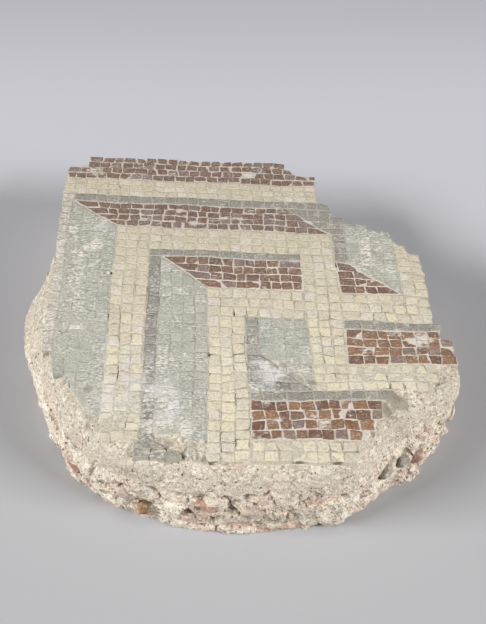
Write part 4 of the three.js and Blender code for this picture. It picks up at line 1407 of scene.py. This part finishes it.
def mortar_finish(name, clods, clod_share, pink_share, pink_patches, grit_and_painted_light, slabs):
    """Gritty mortar with bits of brick; clods is the ramp that gives each clod its shade."""
    material, board = new_finish(name)
    place = object_place(board)
    warp = board.vector("SUBTRACT", cloud(board, place, 4, 4, "Color"), (0.5, 0.5, 0.5))
    bent = board.vector("ADD", place, board.scaled(warp, 0.007))
    flat = board.vector("MULTIPLY", bent, (1.0, 1.0, 2.1))
    tint = attribute(board, "tint", "Color")
    bare = 1.0 - attribute(board, "joint")
    broad = cloud(board, flat, 22, 4)
    grit = cloud(board, flat, 3.2, 6)
    fine = cloud(board, place, 1.1, 4)
    own = board.node("ShaderNodeValToRGB", {"stops": clods}, {"Fac": attribute(board, "clod")},
                     "Color")
    body = board.blend(board.ramp(cloud(board, flat, 9, 5), 0.42, 0.56, 0.0, clod_share) * bare,
                       tint, own)
    body = board.blend(board.ramp(broad, 0.54, 0.64, 0.0, pink_patches) * bare, body, paint("D6B7A6"))
    body = board.blend(specks(board, flat, 12, pink_share) * bare * 0.7, body, paint("BC917F"))
    body = board.blend(specks(board, flat, 4.5, pink_share) * bare * 0.6, body, paint("B98F7E"))
    body = board.blend(specks(board, flat, 6, 0.14) * bare * 0.6, body, paint("EFE7D9"))
    wild = board.ramp(cloud(board, flat, 15, 3), 0.4, 0.58, 0.2, 1.0) * bare
    # The light and dark grit is sand, made lighter and darker than it is as painted highlights and
    # painted shade of the rough break.
    body = board.blend(board.ramp(grit, 0.52, 0.6, 0.0, grit_and_painted_light) * wild, body, paint("F6EDDC"))
    body = board.blend(board.ramp(grit, 0.47, 0.36, 0.0, grit_and_painted_light * 0.78) * wild, body, paint("8B7C66"))
    cells = board.node("ShaderNodeTexVoronoi", None, {"Vector": flat, "Scale": 62.0}, "Distance")
    kind = board.node("ShaderNodeSeparateColor", None, {0: cells.twin("Color")}, "Red")
    shade = board.node("ShaderNodeSeparateColor", None, {0: cells.twin("Color")}, "Green")
    slab = board.maths("LESS_THAN", kind, slabs) * bare
    body = board.blend(board.ramp(cells, 0.54, 0.44) * slab * 0.6, body, paint("7F705F"))
    smooth = board.blend(board.ramp(shade, 0.2, 0.8), paint("D6BBAB"), paint("EADCCA"))
    body = board.blend(board.ramp(cells, 0.46, 0.4) * slab * 0.85, body, smooth)
    # Fine specks as well: sand, with painted highlights and painted shade.
    body = board.blend(board.ramp(fine, 0.45, 0.32, 0.0, grit_and_painted_light * 0.55), body, paint("85796A"),
                       "MULTIPLY")
    body = board.blend(board.ramp(fine, 0.55, 0.66, 0.0, grit_and_painted_light * 0.6), body, paint("FBF4E6"))
    crust = cloud(board, flat, 6, 7) + attribute(board, "rough") * 0.6
    body = board.blend(board.ramp(crust, 1.13, 1.24, 0.0, 0.62) * bare, body, paint("F8EEDD"))
    # Painted shade: small holes are not cut, so dark specks stand in for the shade inside them.
    holes = specks(board, place, 2.6, 0.12, 0.34) + specks(board, place, 5.5, 0.06, 0.22)
    body = board.blend(holes * bare * 0.85, body, paint("4E4435"))
    body = weather(board, place, body, 0.35)
    # Painted shade: the pits and crevices of the relief are darkened where their shade falls.
    dirt = board.ramp(attribute(board, "pit") + attribute(board, "crevice") * 0.7, 0.25, 1.0, 0.0, 0.75)
    body = board.blend(dirt, body, paint("5E503F"), "MULTIPLY")
    # Open joints are painted near black: the shade in the open slot, with some dirt.
    body = board.blend(board.ramp(attribute(board, "gap"), 0.3, 0.9), body, paint("2E271F"))
    height = fine * 0.6 + grit * 0.9
    show_finish(board, body, board.ramp(fine, 0.3, 0.7, 0.8, 0.95), height, 0.9, 1.8, 0.2)
    return material


BEDDING_CLODS = [(0.0, paint("BFB29F")), (0.5, paint("D0C5B3")), (1.0, paint("DFD5C4"))]
RUBBLE_CLODS = [
    (0.0, paint("D6AF9B")), (0.2, paint("E2C1AE")), (0.34, paint("EBDAC7")), (0.5, paint("F2E6D2")),
    (0.66, paint("F7EDDB")), (0.82, paint("FAF3E5")), (1.0, paint("DED1BE")),
]
bedding_finish = mortar_finish("bedding_mortar", BEDDING_CLODS, clod_share=0.6, pink_share=0.02,
                               pink_patches=0.25, grit_and_painted_light=0.8, slabs=0.04)
rubble_finish = mortar_finish("rubble_mortar", RUBBLE_CLODS, clod_share=0.85, pink_share=0.08,
                              pink_patches=0.75, grit_and_painted_light=1.0, slabs=0.3)
print("two mortars, with", len(RUBBLE_CLODS), "shades of clods in the rubble")

# %% [markdown]
# ## Roughening both mortars
# The same tree runs on both shells. The fine mortar gets low, soft settings, because it was trowelled
# smooth and only worn since. The coarse one gets strong lumps and crevices, because it was torn when
# the fragment came away. Afterwards every point is held inside the solid model's box.

# %% Roughen both mortars
def keep_inside(obj):
    """Holds every point of a piece a tenth of a millimetre inside the solid model's box."""
    flat = np.zeros(len(obj.data.vertices) * 3, np.float32)
    obj.data.vertices.foreach_get("co", flat)
    room = 0.1 * MM
    held = np.clip(flat.reshape(-1, 3), np.array(cad_low) + room, np.array(cad_high) - room)
    obj.data.vertices.foreach_set("co", held.astype(np.float32).ravel())
    obj.data.update()


bake_tree(bedding_mortar, roughen_surface, {
    "Lump size": 0.028, "Lump height": 0.002, "Clod size": 0.02, "Clod height": 0.0008,
    "Crevice depth": 0.0003, "Sand size": 0.005, "Sand height": 0.001, "Pit size": 0.011,
    "Pit depth": 0.0016, "Pit share": 0.02, "Finish": bedding_finish})
bake_tree(rubble_mortar, roughen_surface, {
    "Lump size": 0.036, "Lump height": 0.0042, "Clod size": 0.03, "Clod height": 0.004,
    "Crevice depth": 0.0024, "Flatness": 2.0, "Sand size": 0.006, "Sand height": 0.0015,
    "Pit size": 0.015, "Pit depth": 0.003, "Pit share": 0.06, "Finish": rubble_finish})
for piece, node in ((bedding_mortar, "bedding_mortar"), (rubble_mortar, "rubble_mortar")):
    keep_inside(piece)
    claim(piece, node, node)
    print(piece.name, "has", triangles_of(piece), "triangles")

# %% [markdown]
# ## Finishes of stones and brick
# The larger stones in the wall are a brown pebble, pinkish and grey limestone, and crushed brick. They
# differ only in their two shades and in how much lime still sticks to them, so one function makes all
# four finishes.

# %% Stone finishes
def lump_finish(name, dark, light, lime_share):
    material, board = new_finish(name)
    place = object_place(board)
    broad = cloud(board, place, 8, 3)
    fine = cloud(board, place, 0.9, 4)
    body = board.blend(board.ramp(broad, 0.3, 0.7), paint(dark), paint(light))
    body = board.blend(board.ramp(fine, 0.5, 0.3, 0.0, 0.5), body, paint("6B5F52"), "MULTIPLY")
    body = board.blend(specks(board, place, 1.6, 0.2) * 0.5, body, paint("E4DACB"))
    body = board.blend(board.ramp(cloud(board, place, 5, 5), 0.5, 0.66, 0.0, lime_share), body,
                       paint("D9D0C1"))
    show_finish(board, body, board.ramp(fine, 0.3, 0.7, 0.7, 0.9), fine, 0.6, 0.5, 0.25)
    return material


PEBBLE = lump_finish("brown_pebble", "947254", "BE9B78", 0.3)
BRICK = lump_finish("brick", "9F7768", "B8907F", 0.7)
PINKISH = lump_finish("pink_stone", "A8968A", "C4B4A6", 0.5)
GREYISH = lump_finish("grey_stone", "8F887C", "ADA598", 0.6)
print("finishes for a pebble, brick and two kinds of stone")

# %% [markdown]
# ## Shaping a stone
# Each stone starts as a ball of triangles, which has no poles to pinch. It is pressed flat against a few
# planes in chance directions, as a broken or rolled stone has facets, and then stretched to its size.

# %% Shape of a stone
def unit_ball(level):
    """Points and triangles of a ball of radius one."""
    ball = bmesh.new()
    bmesh.ops.create_icosphere(ball, subdivisions=level, radius=1.0)
    points = np.array([v.co for v in ball.verts])
    faces = [tuple(v.index for v in f.verts) for f in ball.faces]
    ball.free()
    return points, faces


def cut_flat(points, seed, cuts, depth):
    """Flattens a ball against a few planes that stand in chance directions."""
    shaped = points.copy()
    for k in range(cuts):
        normal = np.array([wobble(seed + k * 3.1 + m, 1.0) for m in (0.2, 0.5, 0.8)])
        normal /= np.linalg.norm(normal)
        limit = depth + wobble(seed + k * 5.7, 0.12)
        over = np.maximum(shaped @ normal - limit, 0)
        shaped -= over[:, None] * normal * 0.92
    return shaped


ball_points, ball_faces = unit_ball(4)
print(len(ball_faces), "triangles in a stone")

# %% [markdown]
# ## Setting the stones
# Eight larger stones and pieces of brick stand out of the walls, where the solid model has them: at a
# station of the rim and a height above the underside. Half of each size goes outwards, half along
# the wall and half upwards. The relief tree roughens them with finer settings than the mortar's.

# %% Set the stones
INCLUSIONS = [
    ("brown_pebble", 26.8, 11, (7.5, 7, 7.5), PEBBLE, "pebble"),
    ("pink_stone", 27.2, 25, (8, 12, 8), PINKISH, "pebble"),
    ("brick_chip_left", 28.6, 26, (6, 9, 3.5), BRICK, "brick"),
    ("brick_chip_front", 25.1, 30, (7, 10, 3.5), BRICK, "brick"),
    ("grey_stone_front", 24.1, 24, (7, 9, 6), PINKISH, "rubble_stone"),
    ("brick_chip_right", 18.95, 19, (6, 7, 8), BRICK, "brick"),
    ("grey_stone_right", 19.75, 24, (6, 7, 6), GREYISH, "rubble_stone"),
    ("flat_stone_right", 20.75, 27, (5, 9, 6), GREYISH, "rubble_stone"),
]

for index, (name, station, height, half, finish, slot) in enumerate(INCLUSIONS):
    base, outward = wall_points([station], [1 - height / FACE])
    turn = np.array([outward[0], [-outward[0, 1], outward[0, 0], 0.0], [0.0, 0.0, 1.0]])
    centre = base[0] + outward[0] * (3.0 - half[0])
    centre[2] = height
    placed = centre + (cut_flat(ball_points, index * 17 + 3, 9, 0.74) * half) @ turn
    obj = put_mesh(name + "_face", to_frame(placed), ball_faces,
                   {"out": ball_points @ turn, "rough": np.ones(len(placed))})
    bake_tree(obj, roughen_surface, {
        "Lump size": 0.008, "Lump height": 0.0007, "Clod size": 0.006, "Clod height": 0.0004,
        "Crevice depth": 0.0, "Sand size": 0.0015, "Sand height": 0.0002, "Pit size": 0.005,
        "Pit depth": 0.0004, "Finish": finish})
    keep_inside(obj)
    claim(obj, slot, name)
print(len(INCLUSIONS), "stones and pieces of brick set in the walls")

# %% [markdown]
# ## Gravel in the rubble mortar
# Hundreds of smaller chips of brick and gravel show in the broken rubble mortar. A geometry tree
# scatters points over its walls, puts one angular chip on each, turned and sized by chance, and keeps
# the chips apart from the mortar as a piece of their own. One chip has only twenty faces.

# %% Tree that scatters chips
def gravel_tree():
    knobs = {
        "Chips per square metre": ("float", 1000.0), "Smallest": ("float", 0.001),
        "Largest": ("float", 0.0028), "Seed": ("int", 3), "Finish": ("material", None),
    }
    tree, board, wires = geometry_tree("scatter_gravel", knobs)
    rough = board.stored("rough", "FLOAT")
    spread = board.node("GeometryNodeDistributePointsOnFaces", {"distribute_method": "RANDOM"}, {
        "Mesh": wires["Geometry"], "Selection": board.maths("GREATER_THAN", rough, 0.95),
        "Density": wires["Chips per square metre"], "Seed": wires["Seed"]}, "Points")

    def seed(step):
        return board.maths("ADD", wires["Seed"], step)

    ball = board.node("GeometryNodeMeshIcoSphere", None, {"Radius": 1.0, "Subdivisions": 1}, "Mesh")
    uneven = board.random((-0.35,) * 3, (0.35,) * 3, 5)
    chip = board.node("GeometryNodeSetPosition", None, {"Geometry": ball, "Offset": uneven})
    small = board.maths("POWER", board.random(0.0, 1.0, seed(1)), 2.5)
    scale = wires["Smallest"] + (wires["Largest"] - wires["Smallest"]) * small
    stretch = board.random((0.6, 0.6, 0.5), (1.5, 1.5, 1.0), seed(2))
    turn = board.random((0.0, 0.0, 0.0), (6.28, 6.28, 6.28), seed(3))
    chips = board.node("GeometryNodeInstanceOnPoints", None, {
        "Points": spread, "Instance": chip, "Rotation": turn, "Scale": board.scaled(stretch, scale)})
    marked = board.store(chips, "stone", board.random(0.0, 1.0, seed(4)), "INSTANCE")
    close_tree(board, marked, wires["Finish"])
    return tree


scatter_gravel = gravel_tree()
print(len(scatter_gravel.nodes), "nodes scatter the gravel")

# %% [markdown]
# ## Finish of the gravel, and scattering it
# Every chip carries one chance number, and a ramp of seven shades from brick to grey turns it into the
# chip's colour. The tree runs on a copy of the rubble mortar and leaves only the chips.

# %% Scatter the gravel
def gravel_finish():
    material, board = new_finish("gravel")
    place = object_place(board)
    kind = attribute(board, "stone")
    fine = cloud(board, place, 0.9, 3)
    colour = board.node("ShaderNodeValToRGB", {"stops": [
        (0.0, paint("BC9F8E")), (0.2, paint("C6AB9A")), (0.34, paint("CFBDAC")),
        (0.5, paint("D6CCBA")), (0.66, paint("E7DFD0")), (0.82, paint("BFB5A4")),
        (1.0, paint("A0968A"))]}, {"Fac": kind}, "Color")
    body = board.blend(board.ramp(fine, 0.5, 0.3, 0.0, 0.4), colour, paint("7A6E60"), "MULTIPLY")
    body = board.blend(board.ramp(cloud(board, place, 3, 3), 0.5, 0.7, 0.0, 0.5), body,
                       paint("D8CFC0"))
    show_finish(board, body, board.ramp(fine, 0.3, 0.7, 0.75, 0.92), fine, 0.5, 0.4, 0.2)
    return material


def copy_piece(obj, name):
    copied = bpy.data.objects.new(name, obj.data.copy())
    bpy.context.scene.collection.objects.link(copied)
    return copied


gravel = copy_piece(rubble_mortar, "gravel_in_rubble")
bake_tree(gravel, scatter_gravel, {"Finish": gravel_finish()})
keep_inside(gravel)
claim(gravel, "rubble_stone")
print("gravel:", triangles_of(gravel), "triangles")

# %% [markdown]
# ## The floor
# The fragment lies on plain pale paper. It is one big quad. Its faint change of tone from front to back
# is painted by place, which costs less time than more lamps would.

# %% Floor
def floor_finish():
    """Plain paper, with painted light that makes it a little paler in the middle distance."""
    material, board = new_finish("studio_floor")
    place = object_place(board)
    back = board.part(place, "Y")
    soft = cloud(board, place, 400, 2)
    body = board.blend(board.ramp(back, -0.2, 0.32), paint("B3B3B5"), paint("C2C2C8"))
    body = board.blend(board.ramp(back, 0.35, 0.65), body, paint("B2B2B8"))
    show_finish(board, body, 0.9, soft, 0.02, 1.0, 0.1)
    return material


FLOOR_REACH = 30
corners = [(-FLOOR_REACH, -FLOOR_REACH, 0), (FLOOR_REACH, -FLOOR_REACH, 0),
           (FLOOR_REACH, FLOOR_REACH, 0), (-FLOOR_REACH, FLOOR_REACH, 0)]
floor = put_mesh("studio_floor", corners, [(0, 1, 2, 3)])
floor.data.materials.append(floor_finish())
print("floor of", 2 * FLOOR_REACH, "m each way")

# %% [markdown]
# ## The lights
# A wide soft light far off on each side throws the long soft shadows left and right of the piece and
# rakes over the joints. Their distance keeps the light even over the whole face. A weak lamp overhead
# and a faint sky only keep the hollows from going black.

# %% Lights
def soft_light(name, place, size, power):
    """A rectangular lamp, given its width and height, that faces the middle of the scene."""
    lamp = bpy.data.lights.new(name, "AREA")
    lamp.shape = "RECTANGLE"
    lamp.size, lamp.size_y = size
    lamp.energy = power
    obj = bpy.data.objects.new(name, lamp)
    bpy.context.scene.collection.objects.link(obj)
    obj.location = place
    obj.rotation_euler = (-Vector(place)).to_track_quat("-Z", "Y").to_euler()
    print(name, "of", power, "W at", round(Vector(place).length, 1), "m")


soft_light("left_softbox", (-8.0, -2.0, 4.4), (5.5, 2.4), 1080)
soft_light("right_softbox", (8.0, -3.4, 4.5), (5.5, 2.4), 1045)
soft_light("overhead", (0.0, 0.5, 2.2), (1.6, 1.6), 2)
world = bpy.data.worlds.new("studio_air")
world.use_nodes = True
world.node_tree.nodes["Background"].inputs["Color"].default_value = (0.98, 0.98, 1.0, 1.0)
world.node_tree.nodes["Background"].inputs["Strength"].default_value = 0.045
bpy.context.scene.world = world
bpy.context.scene.view_settings.view_transform = "Standard"

# %% [markdown]
# ## The camera
# The camera looks down at the panel at an angle of about 44 degrees, from about a metre away, with a
# rather long lens, which keeps the perspective mild. It aims at the middle of the setting-out plan, at
# the height of the faces.

# %% Camera
LOOK_DOWN = math.radians(43.7)
DISTANCE = 975.0

lens = bpy.data.cameras.new("camera")
lens.lens = 69.23
lens.sensor_width = 36.0
camera = bpy.data.objects.new("camera", lens)
bpy.context.scene.collection.objects.link(camera)
camera.location = to_frame([0.0, -DISTANCE * math.cos(LOOK_DOWN),
                            FACE + DISTANCE * math.sin(LOOK_DOWN)])
camera.rotation_euler = (math.radians(90) - LOOK_DOWN, 0.0, 0.0)
bpy.context.scene.camera = camera
print("camera at", [round(v, 3) for v in camera.location])
